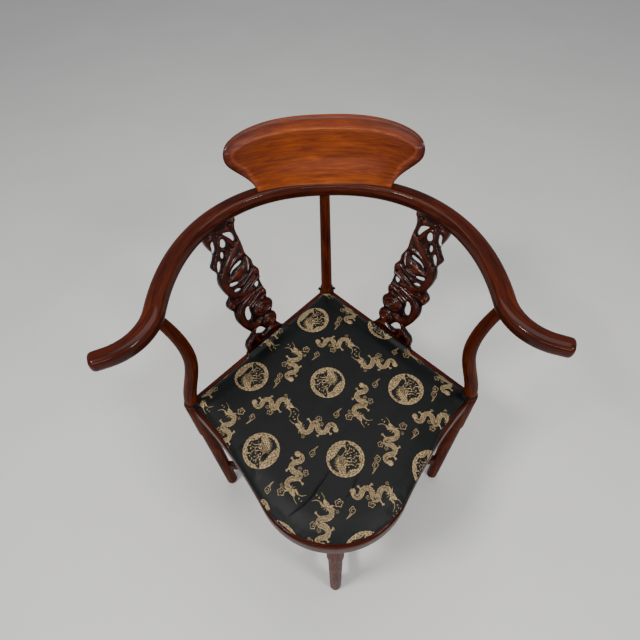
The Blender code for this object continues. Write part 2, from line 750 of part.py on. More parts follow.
def seat_rail_mesh(name, plan, side):
    edge = SEAT_RAIL_CHAMFER * SEAT_RAIL_EDGE_SHARE
    levels = [
        (SEAT_RAIL_BOTTOM, SEAT_RAIL_CHAMFER / 2), (SEAT_RAIL_BOTTOM + SEAT_RAIL_CHAMFER / 2, 0),
        (SEAT_HEIGHT - SEAT_RAIL_CHAMFER, 0), (SEAT_HEIGHT - edge, edge), (SEAT_HEIGHT, SEAT_RAIL_CHAMFER)]
    rings = [[Vector((p.x, p.y, height)) for p in plan(offset)] for height, offset in levels]
    return for_side(mesh_from_rings(name, rings), side)


def rail_tenon_spans():
    half = TENON_THICKNESS / 2
    middle = (SEAT_HEIGHT + SEAT_RAIL_BOTTOM) / 2
    tall = TENON_HEIGHT / 2
    return [(TENON_STOP, BLOCK_RADIUS + TENON_ROOT), (-half, half), (middle - tall, middle + tall)]


def tenon_joint(rail, leg, name, axis, heading, spans, side):
    """Tenon on a rail and its mortise in a leg; heading points from the leg's axis into the rail."""
    across = Vector((-heading.y, heading.x, 0))
    up = Vector((0, 0, 1))
    tenon = block_mesh("tenon", axis, heading, across, up, spans)
    mortise = block_mesh("mortise", axis, heading, across, up, grown(spans, CLEARANCE))
    join(rail, add_tool("tenon_" + name, for_side(tenon, side)))
    cut(leg, add_tool("mortise_" + name, for_side(mortise, side)))


def make_seat_rails(legs, leg_spaces):
    rails = {}
    side_axis = Vector((SIDE_REACH, 0, 0))
    rear_axis = Vector((0, REAR_REACH, 0))
    to_side = (side_axis - rear_axis).normalized()
    to_front = -Vector((cos(SIDE_HEADING), sin(SIDE_HEADING), 0))
    for side in (RIGHT, LEFT):
        name = SIDE_NAMES[side]
        rear_mesh = seat_rail_mesh("rear_rail", rear_rail_plan, side)
        rear = add_node("seat_rail_rear_" + name, rear_mesh, ROSEWOOD)
        front_mesh = seat_rail_mesh("front_rail", front_rail_plan, side)
        front = add_node("seat_rail_front_" + name, front_mesh, ROSEWOOD)
        for rail in (rear, front):
            cut(rail, leg_spaces[name])
        cut(rear, leg_spaces["rear"])
        spans = rail_tenon_spans()
        tenon_joint(rear, legs["rear"], "rear_rear_" + name, rear_axis, to_side, spans, side)
        tenon_joint(rear, legs[name], "rear_side_" + name, side_axis, -to_side, spans, side)
        tenon_joint(front, legs[name], "front_side_" + name, side_axis, to_front, spans, side)
        rails["rear_" + name] = rear
        rails["front_" + name] = front
    join_front_mitre(rails)
    return rails


def join_front_mitre(rails):
    """Front leg's round tenon up into both front rails, and the tenon across their mitre."""
    top = SEAT_RAIL_BOTTOM - CLEARANCE + LEG_TENON_HEIGHT
    bore = LEG_TENON_RADIUS + CLEARANCE
    profile = [(SEAT_RAIL_BOTTOM - PAST, bore), (top + CLEARANCE, bore)]
    socket = add_tool("front_socket", upright_mesh("socket", 0, FRONT_LEG_Y, profile))
    half = MITRE_TENON_WIDTH / 2
    heights = (top + TENON_COVER, SEAT_HEIGHT - TENON_COVER)
    spans = [(-MITRE_TENON_REACH, MITRE_TENON_REACH), (-half, half), heights]
    origin = Vector((0, FRONT_LEG_Y, 0))
    axes = (Vector((1, 0, 0)), Vector((0, 1, 0)), Vector((0, 0, 1)))
    for rail in (rails["front_right"], rails["front_left"]):
        cut(rail, socket)
    join(rails["front_right"], add_tool("mitre_tenon", block_mesh("tenon", origin, *axes, spans)))
    mortise = block_mesh("mortise", origin, *axes, grown(spans, CLEARANCE))
    cut(rails["front_left"], add_tool("mitre_mortise", mortise))


# Seat panel and the battens under it

def seat_plan(offset):
    """Whole seat outline drawn in by offset, in the same number of points for every offset."""
    rear, side = rear_edge(offset)
    front = resample(between(front_edge(offset), 0, 0), PAD_FRONT_STEPS)
    right = [rear.lerp(side, i / PAD_REAR_STEPS) for i in range(PAD_REAR_STEPS)] + front[:0:-1]
    left = [Vector((-point.x, point.y)) for point in right[1:]]
    return right + [front[0]] + left[::-1]


def plan_slab(name, offset, low, high):
    plan = seat_plan(offset)
    return mesh_from_rings(name, [[Vector((p.x, p.y, height)) for p in plan] for height in (low, high)])


def edge_x(offset, y):
    """How far the seat outline, drawn in by offset, reaches across at a place along the chair."""
    rear, side = rear_edge(offset)
    if y >= 0:
        return side.x * (1 - y / rear.y)
    return between(front_edge(offset), 0, y)[-1].x


def make_seat_panel(rails):
    high = SEAT_HEIGHT - PANEL_DROP
    low = high - PANEL_THICKNESS
    inset = SEAT_RAIL_WIDTH - PANEL_TONGUE
    add_node("seat_panel", plan_slab("seat_panel", inset, low, high), INNER_WOOD)
    groove = plan_slab("groove", inset - CLEARANCE, low - CLEARANCE, high + CLEARANCE)
    tool = add_tool("panel_groove", groove)
    for rail in rails.values():
        cut(rail, tool)
    batten_top = low - CLEARANCE
    for name, y in (("rear", BATTEN_OFFSET), ("front", -BATTEN_OFFSET)):
        half_wide = BATTEN_WIDTH / 2
        opening = max(edge_x(SEAT_RAIL_WIDTH, y - half_wide), edge_x(SEAT_RAIL_WIDTH, y + half_wide))
        reach = opening + BATTEN_TENON
        spans = [(-reach, reach), (y - half_wide, y + half_wide), (batten_top - BATTEN_HEIGHT, batten_top)]
        axes = (Vector((0, 0, 0)), Vector((1, 0, 0)), Vector((0, 1, 0)), Vector((0, 0, 1)))
        add_node("seat_batten_" + name, block_mesh("batten", *axes, spans), INNER_WOOD)
        slot = add_tool("batten_slot_" + name, block_mesh("slot", *axes, grown(spans, CLEARANCE)))
        for side_name in SIDE_NAMES.values():
            cut(rails[name + "_" + side_name], slot)


# Crossed stretchers, half-lapped in the middle

def make_stretchers(legs, leg_spaces):
    half = STRETCHER_THICKNESS / 2
    top = STRETCHER_BOTTOM + STRETCHER_HEIGHT
    middle = (STRETCHER_BOTTOM + top) / 2
    tall = STRETCHER_TENON_HEIGHT / 2
    thin = STRETCHER_TENON_THICKNESS / 2
    up = Vector((0, 0, 1))
    tenon_spans = [(TENON_STOP, BLOCK_RADIUS + TENON_ROOT), (-thin, thin), (middle - tall, middle + tall)]
    side_end = side_leg_x(middle)
    plans = [
        ("stretcher_side", Vector((1, 0, 0)), (-side_end, side_end), ("left", "right"), (middle, top)),
        ("stretcher_front_rear", Vector((0, 1, 0)), (FRONT_LEG_Y, REAR_REACH), ("front", "rear"),
         (STRETCHER_BOTTOM, middle))]
    for name, along, ends, leg_names, lap in plans:
        across = Vector((-along.y, along.x, 0))
        spans = [ends, (-half, half), (STRETCHER_BOTTOM, top)]
        bar = add_node(name, block_mesh(name, Vector((0, 0, 0)), along, across, up, spans), ROSEWOOD)
        wide = half + CLEARANCE
        low = lap[0] - CLEARANCE / 2 if lap[0] == middle else lap[0] - PAST
        high = lap[1] + CLEARANCE / 2 if lap[1] == middle else lap[1] + PAST
        notch = block_mesh("notch", Vector((0, 0, 0)), along, across, up,
                           [(-wide, wide), (-half - PAST, half + PAST), (low, high)])
        cut(bar, add_tool("lap_" + name, notch))
        for end, leg_name, inward in zip(ends, leg_names, (1, -1)):
            cut(bar, leg_spaces[leg_name])
            tenon_joint(bar, legs[leg_name], name + "_" + leg_name, along * end, along * inward,
                        tenon_spans, RIGHT)


# Carved openwork splats

def splat_axes():
    """Foot of the right-hand splat with its axes: towards the rear post, up the lean, and outward."""
    towards_rear = Vector((-SIDE_REACH, REAR_REACH, 0)).normalized()
    outward = Vector((REAR_REACH, SIDE_REACH, 0)).normalized()
    middle = Vector((SIDE_REACH, REAR_REACH, 0)) / 2
    foot = middle + outward * (RAIL_PAST_AXIS - SPLAT_EDGE_INSET - SPLAT_THICKNESS / 2)
    foot.z = SEAT_HEIGHT
    rail_points = [rail_point(POST_ON_RAIL * i / SPLAT_SEARCH_STEPS) for i in range(SPLAT_SEARCH_STEPS)]
    head = min(rail_points, key=lambda point: abs((point - middle).dot(towards_rear)))
    head = foot + outward * (head - foot).dot(outward)
    head.z = ARM_RAIL_BOTTOM
    up = (head - foot).normalized()
    return foot, towards_rear, up, towards_rear.cross(up), (head - foot).length


def drawn_spline(curve, points, smooth):
    spline = curve.splines.new("BEZIER" if smooth else "POLY")
    if smooth:
        spline.bezier_points.add(len(points) - 1)
        for knot, (across, up) in zip(spline.bezier_points, points):
            knot.co = (across, up, 0)
            knot.handle_left_type = "AUTO"
            knot.handle_right_type = "AUTO"
    else:
        spline.points.add(len(points) - 1)
        for knot, (across, up) in zip(spline.points, points):
            knot.co = (across, up, 0, 1)
    spline.use_cyclic_u = True


def splat_mesh(name, stretch):
    """Flat carved plate from its drawn outline and openings."""
    curve = bpy.data.curves.new(name, "CURVE")
    curve.dimensions = "2D"
    curve.fill_mode = "BOTH"
    curve.resolution_u = 3
    curve.extrude = SPLAT_THICKNESS / 2
    outline = SPLAT_REAR_EDGE + SPLAT_SIDE_EDGE
    drawn_spline(curve, [(a * MILLIMETRE, b * MILLIMETRE * stretch) for a, b in outline], True)
    for across, up, half_long, half_wide, turn in SPLAT_OPENINGS:
        ring = []
        for i in range(SPLAT_OPENING_SIDES):
            angle = 2 * pi * i / SPLAT_OPENING_SIDES
            along = half_long * cos(angle)
            aside = half_wide * sin(angle)
            a = across + along * cos(radians(turn)) - aside * sin(radians(turn))
            b = up + along * sin(radians(turn)) + aside * cos(radians(turn))
            ring.append((a * MILLIMETRE, b * MILLIMETRE * stretch))
        drawn_spline(curve, ring, False)
    drawing = bpy.data.objects.new(name, curve)
    bpy.context.collection.objects.link(drawing)
    mesh = bpy.data.meshes.new_from_object(drawing.evaluated_get(bpy.context.evaluated_depsgraph_get()))
    bpy.data.objects.remove(drawing)
    shape = bmesh.new()
    shape.from_mesh(mesh)
    bmesh.ops.remove_doubles(shape, verts=shape.verts, dist=CLEARANCE / 100)
    bmesh.ops.recalc_face_normals(shape, faces=shape.faces)
    shape.to_mesh(mesh)
    shape.free()
    return mesh


def splat_block(name, axes, spans, side):
    foot, across, up, outward, length = axes
    return for_side(block_mesh(name, foot, across, outward, up, spans), side)


def make_splats(rails, seat_rails, rail_space):
    axes = splat_axes()
    foot, across, up, outward, length = axes
    place = Matrix((across, up, outward)).transposed().to_4x4()
    place.translation = foot
    thin = SPLAT_TENON_THICKNESS / 2
    wide = SPLAT_TENON_HALF_WIDTH
    floor_spans = [(-SIDE_REACH, SIDE_REACH), (-REAR_REACH, REAR_REACH),
                   (SEAT_RAIL_BOTTOM - PAST, SEAT_HEIGHT + CLEARANCE)]
    upright_axes = (Vector((1, 0, 0)), Vector((0, 1, 0)), Vector((0, 0, 1)))
    seat_plane = block_mesh("seat_plane", Vector((foot.x, foot.y, 0)), *upright_axes, floor_spans)
    pad_spaces = {}
    for side in (RIGHT, LEFT):
        name = SIDE_NAMES[side]
        mesh = splat_mesh("splat_" + name, length / SPLAT_DRAWN_HEIGHT)
        reach = max(abs(vertex.co.x) for vertex in mesh.vertices)
        mesh.transform(place)
        splat = add_node("splat_" + name, for_side(mesh, side), ROSEWOOD)
        cut(splat, add_tool("seat_plane_" + name, for_side(seat_plane.copy(), side)))
        top_spans = [(-reach, reach), (-length, length), (length + SPLAT_IN_RAIL, length * 2)]
        head = splat_block("head", axes, top_spans, side)
        cut(splat, add_tool("splat_top_" + name, head))
        cut(splat, rail_space)
        ends = {
            "foot": ([(-wide, wide), (-thin, thin), (-SPLAT_TENON_DEPTH, SPLAT_TENON_DEPTH)],
                     seat_rails["rear_" + name]),
            "head": ([(-wide, wide), (-thin, thin), (length - SPLAT_TENON_DEPTH, length + SPLAT_TENON_DEPTH)],
                     rails[side])}
        for end, (spans, holder) in ends.items():
            tenon = splat_block("tenon", axes, spans, side)
            join(splat, add_tool("splat_" + end + "_" + name, tenon))
            mortise = splat_block("mortise", axes, grown(spans, CLEARANCE), side)
            cut(holder, add_tool("splat_" + end + "_mortise_" + name, mortise))
        half = SPLAT_THICKNESS / 2
        space = [(-reach, reach), (-half, half + SEAT_RAIL_WIDTH), (-PAD_THICKNESS, PAD_THICKNESS * 2)]
        space = splat_block("pad_space", axes, grown(space, PAD_CLEARANCE), side)
        pad_spaces[name] = add_tool("pad_space_" + name, space)
    return pad_spaces


# Seat pad and the loops of cloth that tie it to the posts

def pad_ring(inset, height):
    """Pad outline whose sides are drawn in a little between the corners."""
    outline = seat_plan(PAD_EDGE_INSET + inset)
    inner = seat_plan(PAD_EDGE_INSET + inset + PAD_DRAW_IN)
    rear_count = PAD_REAR_STEPS
    front_count = PAD_FRONT_STEPS - 1
    shares = [i / rear_count for i in range(rear_count)] + [i / front_count for i in range(front_count)]
    shares = shares + [0.0] + shares[:0:-1]
    ring = []
    for outer_point, inner_point, share in zip(outline, inner, shares):
        point = outer_point.lerp(inner_point, sin(pi * share))
        ring.append(Vector((point.x, point.y, height)))
    return ring


def make_pad(pad_spaces, tie_spaces):
    low = SEAT_HEIGHT + CLEARANCE
    rings = [pad_ring(inset, low + PAD_THICKNESS * share) for inset, share in PAD_SECTION]
    pad = add_node("seat_cushion", mesh_from_rings("seat_cushion", rings), BROCADE, 60)
    for tool in list(pad_spaces.values()) + list(tie_spaces.values()):
        cut(pad, tool)


def post_at(name, height):
    """Centre and radius of a post at a height just above the seat."""
    if name == "rear":
        share = (height - POST_FOOT) / (ARM_RAIL_MIDDLE - POST_FOOT)
        radius = REAR_POST_SEAT_RADIUS + (REAR_POST_TOP_RADIUS - REAR_POST_SEAT_RADIUS) * share
        return Vector((0, REAR_REACH, height)), radius
    path, radii = arm_post_path()
    k = 0
    while path[k + 1].z < height:
        k += 1
    share = (height - path[k].z) / (path[k + 1].z - path[k].z)
    centre = path[k].lerp(path[k + 1], share)
    if name == "left":
        centre.x = -centre.x
    return centre, radii[k] + (radii[k + 1] - radii[k]) * share


def tie_loop(name, height, extra):
    centre, radius = post_at(name, height)
    return circle(centre, radius + extra, Vector((1, 0, 0)), Vector((0, 1, 0)), ROUND_SIDES)


def make_ties():
    """Loop of cloth round each post, with its knot behind, and the room it takes in the pad."""
    behind = Vector((0, 1, 0))
    spaces = {}
    for name in ("rear", "right", "left"):
        low = SEAT_HEIGHT + TIE_LIFT
        high = low + TIE_WIDTH
        inner = CLEARANCE * 2
        outer = inner + TIE_THICKNESS
        loops = [tie_loop(name, low, inner), tie_loop(name, low, outer),
                 tie_loop(name, high, outer), tie_loop(name, high, inner)]
        tie = add_node("cushion_tie_" + name, mesh_from_rings("tie", loops, hollow=True), TIE_CLOTH)
        centre, radius = post_at(name, (low + high) / 2)
        spot = centre + behind * (radius + outer + TIE_KNOT_RADIUS * TIE_KNOT_SEAT)
        knot = bmesh.new()
        bmesh.ops.create_icosphere(knot, subdivisions=2, radius=TIE_KNOT_RADIUS)
        bmesh.ops.translate(knot, verts=knot.verts, vec=spot)
        mesh = bpy.data.meshes.new("knot")
        knot.to_mesh(mesh)
        knot.free()
        join(tie, add_tool("knot_" + name, mesh))
        room = max(outer, BLOCK_RADIUS - radius) + PAD_CLEARANCE
        rings = [tie_loop(name, SEAT_HEIGHT, room), tie_loop(name, SEAT_HEIGHT + PAD_THICKNESS * 2, room)]
        spaces[name] = add_tool("tie_space_" + name, mesh_from_rings("tie_space", rings))
    return spaces


def centre_on_origin():
    """Move the chair so that its box is centred over the origin front to rear."""
    bpy.context.view_layer.update()
    graph = bpy.context.evaluated_depsgraph_get()
    low = 0.0
    high = 0.0
    for item in CHAIR.children:
        if item.display_type == "WIRE":
            continue
        for corner in item.evaluated_get(graph).bound_box:
            low = min(low, corner[1])
            high = max(high, corner[1])
    CHAIR.location.y = -(low + high) / 2


def make_chair():
    rails = make_arm_rails()
    reach = POST_ON_RAIL + ARM_TURN_RADIUS / 2
    rail_space = add_tool("rail_space", rail_mesh("rail_space", -reach, reach, CLEARANCE))
    make_crest(rails, rail_space)
    legs = make_legs(rails, rail_space)
    leg_spaces = {"rear": add_tool("rear_leg_space", rear_leg_mesh("leg_space", CLEARANCE))}
    front_profile = [(height, radius + CLEARANCE) for height, radius in leg_profile()]
    front_space = upright_mesh("leg_space", 0, FRONT_LEG_Y, front_profile)
    leg_spaces["front"] = add_tool("front_leg_space", front_space)
    for side, name in SIDE_NAMES.items():
        leg_spaces[name] = add_tool(name + "_leg_space", side_leg_mesh("leg_space", side, CLEARANCE))
    seat_rails = make_seat_rails(legs, leg_spaces)
    make_seat_panel(seat_rails)
    make_stretchers(legs, leg_spaces)
    pad_spaces = make_splats(rails, seat_rails, rail_space)
    make_pad(pad_spaces, make_ties())
    centre_on_origin()


make_chair()
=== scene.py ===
"""Corner armchair: the dressed visual model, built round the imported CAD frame.

Shapes are drawn in metres with the side legs' axes on y = 0, then moved by the frame's own shift along y.
"""
from math import cos, hypot, pi, radians, sin

import bmesh
import bpy
import numpy as np
from mathutils import Matrix, Vector
from mathutils.bvhtree import BVHTree
from mathutils.geometry import delaunay_2d_cdt


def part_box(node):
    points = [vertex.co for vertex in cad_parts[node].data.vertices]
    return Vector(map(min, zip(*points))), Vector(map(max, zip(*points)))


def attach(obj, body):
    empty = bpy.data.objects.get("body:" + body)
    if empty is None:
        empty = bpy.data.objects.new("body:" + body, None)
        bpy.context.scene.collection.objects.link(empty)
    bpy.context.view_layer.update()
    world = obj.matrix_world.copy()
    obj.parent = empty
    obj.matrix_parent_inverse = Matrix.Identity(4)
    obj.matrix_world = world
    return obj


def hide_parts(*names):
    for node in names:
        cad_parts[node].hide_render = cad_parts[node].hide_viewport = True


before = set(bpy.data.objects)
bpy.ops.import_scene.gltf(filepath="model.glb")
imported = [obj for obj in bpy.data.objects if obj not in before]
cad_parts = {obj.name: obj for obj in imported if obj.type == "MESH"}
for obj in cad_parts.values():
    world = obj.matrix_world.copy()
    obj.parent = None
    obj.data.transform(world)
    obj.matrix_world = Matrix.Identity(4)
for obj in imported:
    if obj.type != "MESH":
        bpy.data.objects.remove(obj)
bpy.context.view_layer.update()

# Sizes of the CAD frame, repeated from the part's source
SEAT_HEIGHT = 0.462
SEAT_RAIL_BOTTOM = 0.420
SEAT_RAIL_WIDTH = 0.046
SIDE_REACH = 0.290
REAR_REACH = 0.298
FRONT_REACH = 0.292
SIDE_LEG_LEAN = 0.008
RAIL_PAST_AXIS = 0.010
BOW_RADIUS = 0.155
BOW_HALF_ANGLE = radians(59.5)
SIDE_HEADING = radians(42)
SERPENTINE_HANDLE = 0.090
LEG_RADIUS = 0.015
FOOT_RADIUS = 0.0138
FOOT_ROUND = 0.004
BLOCK_RADIUS = 0.0175
BLOCK_BOTTOM = 0.332
POST_FOOT = 0.468
FRONT_LEG_Y = -0.2742
ARM_POST_SEAT_RADIUS = 0.0140
ARM_POST_WAIST_RADIUS = 0.0123
ARM_POST_TOP_RADIUS = 0.0102
ARM_POST_WAIST_INSET = 0.0352
ARM_POST_WAIST_HEIGHT = 0.644
ARM_POST_FOOT_PULL = 0.004
ARM_POST_HEAD_REACH = 0.286
ARM_POST_HEAD_LEAN = 0.5
REAR_POST_SEAT_RADIUS = 0.0128
REAR_POST_TOP_RADIUS = 0.0102
ARM_RAIL_TOP = 0.7885
ARM_RAIL_WIDTH = 0.0355
ARM_RAIL_DEPTH = 0.032
ARM_RAIL_TIP_WIDTH = 0.030
ARM_RAIL_TIP_DEPTH = 0.029
ARM_RAIL_END_ROUND = 0.008
ARM_BACK_REACH = 0.3005
ARM_HALF_WIDTH = 0.280
ARM_CURVE_POWER = 2.25
ARM_TURN_RADIUS = 0.090
ARM_TURN_ANGLE = radians(69)
ARM_TIP_LENGTH = 0.025
RAIL_JOINT_AT = 0.135
RAIL_LAP = 0.040
CREST_TOP = 0.9015
CREST_WIDEST_AT = 0.863
CREST_HALF_WIDTH = 0.180
CREST_NECK_HALF = 0.128
CREST_THICKNESS = 0.022
CREST_ROUNDNESS = 2.8
CREST_LEAN = 0.30
CREST_LEAN_FROM = 0.782
CREST_CURVE_REACH = 0.298
CREST_CURVE_HALF_WIDTH = 0.284
CREST_CURVE_POWER = 2.4
CREST_SUNK = 0.012
CREST_NECK_PULL = 0.45
SPLAT_FOOT = (0.1464, 0.1504, 0.4620)
SPLAT_ACROSS = (-0.6974, 0.7167, 0.0)
SPLAT_UP = (0.2121, 0.2064, 0.9552)
SPLAT_OUTWARD = (0.6846, 0.6662, -0.2960)
STRETCHER_BOTTOM = 0.087
STRETCHER_HEIGHT = 0.033
STRETCHER_THICKNESS = 0.014
PAD_DRAW_IN = 0.0025
TIE_WIDTH = 0.011
GAP = 0.0003
ARM_RAIL_MIDDLE = ARM_RAIL_TOP - ARM_RAIL_DEPTH / 2

REAR_LOW, REAR_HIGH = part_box("rear_leg_post")
SHIFT = np.array([0.0, (REAR_LOW[1] + REAR_HIGH[1]) / 2 - REAR_REACH, 0.0])
RIGHT = 1
LEFT = -1
SIDE_NAMES = {RIGHT: "right", LEFT: "left"}
MILLIMETRE = 0.001


# Camera and lamps

CAMERA_PLACE = (-0.0077, -0.4964, 1.402)
CAMERA_YAW = radians(-0.85)
CAMERA_PITCH = radians(53.19)
CAMERA_ROLL = radians(-2.4)
FOCAL_PIXELS = 501.9
IMAGE_PIXELS = 640
SENSOR_WIDTH = 36.0


def make_camera():
    ahead = Vector((sin(CAMERA_YAW) * cos(CAMERA_PITCH), cos(CAMERA_YAW) * cos(CAMERA_PITCH),
                    -sin(CAMERA_PITCH)))
    level = Vector((cos(CAMERA_YAW), -sin(CAMERA_YAW), 0))
    upward = level.cross(ahead)
    right = level * cos(CAMERA_ROLL) + upward * sin(CAMERA_ROLL)
    top = upward * cos(CAMERA_ROLL) - level * sin(CAMERA_ROLL)
    lens = bpy.data.cameras.new("camera")
    lens.sensor_width = SENSOR_WIDTH
    lens.lens = SENSOR_WIDTH * FOCAL_PIXELS / IMAGE_PIXELS
    camera = bpy.data.objects.new("camera", lens)
    place = Matrix((right, top, -ahead)).transposed().to_4x4()
    place.translation = Vector(CAMERA_PLACE) + Vector(SHIFT)
    camera.matrix_world = place
    bpy.context.collection.objects.link(camera)
    bpy.context.scene.camera = camera


def add_light(name, place, target, size, power, colour):
    lamp = bpy.data.lights.new(name, "AREA")
    lamp.shape = "RECTANGLE"
    lamp.size, lamp.size_y = size
    lamp.energy = power
    lamp.color = colour
    light = bpy.data.objects.new(name, lamp)
    light.location = place
    light.rotation_mode = "QUATERNION"
    light.rotation_quaternion = (Vector(target) - Vector(place)).to_track_quat("-Z", "Y")
    bpy.context.collection.objects.link(light)


# Node materials

def node(tree, kind, inputs, **settings):
    """Add a shader node; an input is a number, a colour, or another node's output socket."""
    made = tree.nodes.new("ShaderNode" + kind)
    for key, value in settings.items():
        setattr(made, key, value)
    for key, value in inputs.items():
        if isinstance(value, bpy.types.NodeSocket):
            tree.links.new(value, made.inputs[key])
        else:
            made.inputs[key].default_value = value
    return made


def colour_ramp(tree, factor, stops):
    made = node(tree, "ValToRGB", {"Fac": factor})
    steps = made.color_ramp.elements
    while len(steps) < len(stops):
        steps.new(1.0)
    for step, (position, colour) in zip(steps, stops):
        step.position = position
        step.color = (*colour, 1)
    return made.outputs["Color"]


def blank_material(name, settings):
    material = bpy.data.materials.new(name)
    material.use_nodes = True
    shader = material.node_tree.nodes["Principled BSDF"]
    for key, value in settings.items():
        shader.inputs[key].default_value = value
    return material, material.node_tree, shader


def wood_place(tree):
    """Wood coordinates of a piece: along the grain, across and up, in metres."""
    return node(tree, "Attribute", {}, attribute_name="grain").outputs["Vector"]


def object_place(tree):
    return node(tree, "TexCoord", {}).outputs["Object"]


def grain_vector(tree, scale, from_attribute=True):
    """Wood coordinates stretched by scale; a CAD node has none, and takes its place in the object."""
    source = wood_place(tree) if from_attribute else object_place(tree)
    return node(tree, "Mapping", {"Vector": source, "Scale": scale}).outputs["Vector"]


def noise(tree, vector, scale, detail, roughness=0.55, distortion=0.0):
    made = node(tree, "TexNoise", {"Vector": vector, "Scale": scale, "Detail": detail,
                                   "Roughness": roughness, "Distortion": distortion})
    return made.outputs["Fac"]


def multiplied(tree, first, second):
    """Product of two colours, each the output socket of a node."""
    made = node(tree, "Mix", {"Factor": 1.0}, data_type="RGBA", blend_type="MULTIPLY")
    entries = [socket for socket in made.inputs if socket.type == "RGBA"]
    tree.links.new(first, entries[0])
    tree.links.new(second, entries[1])
    return [socket for socket in made.outputs if socket.type == "RGBA"][0]


def add_bump(tree, shader, height, strength, depth):
    bump = node(tree, "Bump", {"Height": height, "Strength": strength, "Distance": depth})
    tree.links.new(bump.outputs["Normal"], shader.inputs["Normal"])


def paint_light_by_place(tree, colour, axis, low, high, stops):
    """Multiply a colour by a tint of painted light and shade that changes from low to high along one wood
    coordinate.
    """
    along = node(tree, "SeparateXYZ", {"Vector": wood_place(tree)}).outputs[axis]
    share = node(tree, "MapRange", {"Value": along, "From Min": low, "From Max": high}).outputs["Result"]
    return multiplied(tree, colour, colour_ramp(tree, share, stops))


RAIL_FIGURE = (7, 60, 60)
PANEL_FIGURE = (20, 150, 60)
STREAK_SCALE = (22, 420, 420)
STREAK_DARK_AT = 0.36
STREAK_CLEAR_AT = 0.56
STREAK_DULL = 0.10
STREAK_GLOSS = 0.04
PORE_SCALE = (90, 1500, 1500)
PORE_STRENGTH = 0.10
PORE_DEPTH = 0.0004


def polish(roughness, coat, coat_roughness, specular):
    """Shader settings of a wood's surface."""
    return {"Roughness": roughness, "Coat Weight": coat, "Coat Roughness": coat_roughness,
            "Specular IOR Level": specular}


def wood_material(name, stops, streak, settings, from_attribute=True, figure_scale=RAIL_FIGURE, painted_tints=()):
    """Polished wood: broad figure along the grain, fine dark streaks and open pores, with any tints of
    painted light and shade.
    """
    material, tree, shader = blank_material(name, settings)
    figure = noise(tree, grain_vector(tree, figure_scale, from_attribute), 1.0, 5, 0.6, 0.6)
    streaks = noise(tree, grain_vector(tree, STREAK_SCALE, from_attribute), 1.0, 3, 0.65)
    dark = colour_ramp(tree, streaks, [(STREAK_DARK_AT, streak), (STREAK_CLEAR_AT, (1, 1, 1))])
    tinted = multiplied(tree, colour_ramp(tree, figure, stops), dark)
    for painted_tint in painted_tints:
        tinted = paint_light_by_place(tree, tinted, *painted_tint)
    tree.links.new(tinted, shader.inputs["Base Color"])
    gloss = node(tree, "MapRange", {"Value": streaks, "From Min": 0.3, "From Max": 0.7,
                                    "To Min": settings["Roughness"] + STREAK_DULL,
                                    "To Max": settings["Roughness"] - STREAK_GLOSS})
    tree.links.new(gloss.outputs["Result"], shader.inputs["Roughness"])
    pores = noise(tree, grain_vector(tree, PORE_SCALE, from_attribute), 1.0, 2, 0.5)
    add_bump(tree, shader, pores, PORE_STRENGTH, PORE_DEPTH)
    return material


ROSEWOOD_TONES = [
    (0.30, (0.020, 0.0026, 0.0007)), (0.48, (0.042, 0.0054, 0.0011)), (0.66, (0.070, 0.0098, 0.0016))]
ROSEWOOD_STREAK = (0.42, 0.36, 0.33)
ROSEWOOD = wood_material("rosewood", ROSEWOOD_TONES, ROSEWOOD_STREAK, polish(0.34, 0.24, 0.05, 0.06))
FRAME_WOOD = wood_material(
    "rosewood_frame", ROSEWOOD_TONES, ROSEWOOD_STREAK, polish(0.36, 0.10, 0.06, 0.04))
# Legs and posts use a lighter copy of the rosewood tones: painted light, for the brighter light on the legs
# at the front
LEG_WOOD = wood_material(
    "rosewood_legs",
    [(0.30, (0.032, 0.0050, 0.0013)), (0.48, (0.066, 0.0104, 0.0021)), (0.66, (0.108, 0.0186, 0.0031))],
    ROSEWOOD_STREAK, polish(0.36, 0.06, 0.06, 0.013))
CREST_WOOD = wood_material(
    "figured_rosewood",
    [(0.30, (0.112, 0.0155, 0.0005)), (0.50, (0.172, 0.0280, 0.0007)), (0.70, (0.232, 0.0440, 0.0009))],
    (0.70, 0.58, 0.45), polish(0.34, 0.16, 0.14, 0.22), figure_scale=PANEL_FIGURE,
    # Painted shade: the crest's two ends darkened, its middle a little lightened
    painted_tints=[("X", -0.185, 0.185, [(0.0, (0.54, 0.44, 1.0)), (0.35, (1.06, 1.10, 1.0)),
                                  (0.65, (1.06, 1.10, 1.0)), (1.0, (0.54, 0.44, 1.0))]),
            # Painted shade and highlight by depth: the rolled border darkened towards its edge, a pale
            # painted highlight along the ridge
            ("Z", -0.0095, 0.0045, [(0.0, (0.40, 0.31, 0.5)), (0.32, (0.62, 0.52, 0.6)),
                                    (0.57, (0.84, 0.78, 0.9)), (0.655, (1.5, 1.9, 14.0)),
                                    (0.690, (1.6, 2.2, 18.0)), (0.735, (1.1, 1.15, 1.6)),
                                    (0.80, (1.0, 1.0, 1.0))])])
CARVED_WOOD = wood_material(
    "carved_rosewood",
    [(0.30, (0.014, 0.0018, 0.0008)), (0.48, (0.040, 0.0044, 0.0015)), (0.66, (0.085, 0.0105, 0.0024))],
    (0.5, 0.44, 0.40), polish(0.28, 0.26, 0.07, 0.16),
    # Painted shade and light by depth: low relief darkened as shade in the hollows, the crowns on both faces
    # lightened
    painted_tints=[("Z", -0.0085, 0.0085, [(0.0, (1.35, 1.35, 1.1)), (0.32, (0.14, 0.12, 0.12)),
                                    (0.68, (0.14, 0.12, 0.12)), (1.0, (1.35, 1.35, 1.1))])])
INNER_WOOD = wood_material(
    "inner_wood",
    [(0.30, (0.085, 0.034, 0.014)), (0.5, (0.125, 0.052, 0.022)), (0.7, (0.170, 0.075, 0.034))],
    (0.7, 0.66, 0.6), polish(0.55, 0.0, 0.3, 0.3), from_attribute=False)


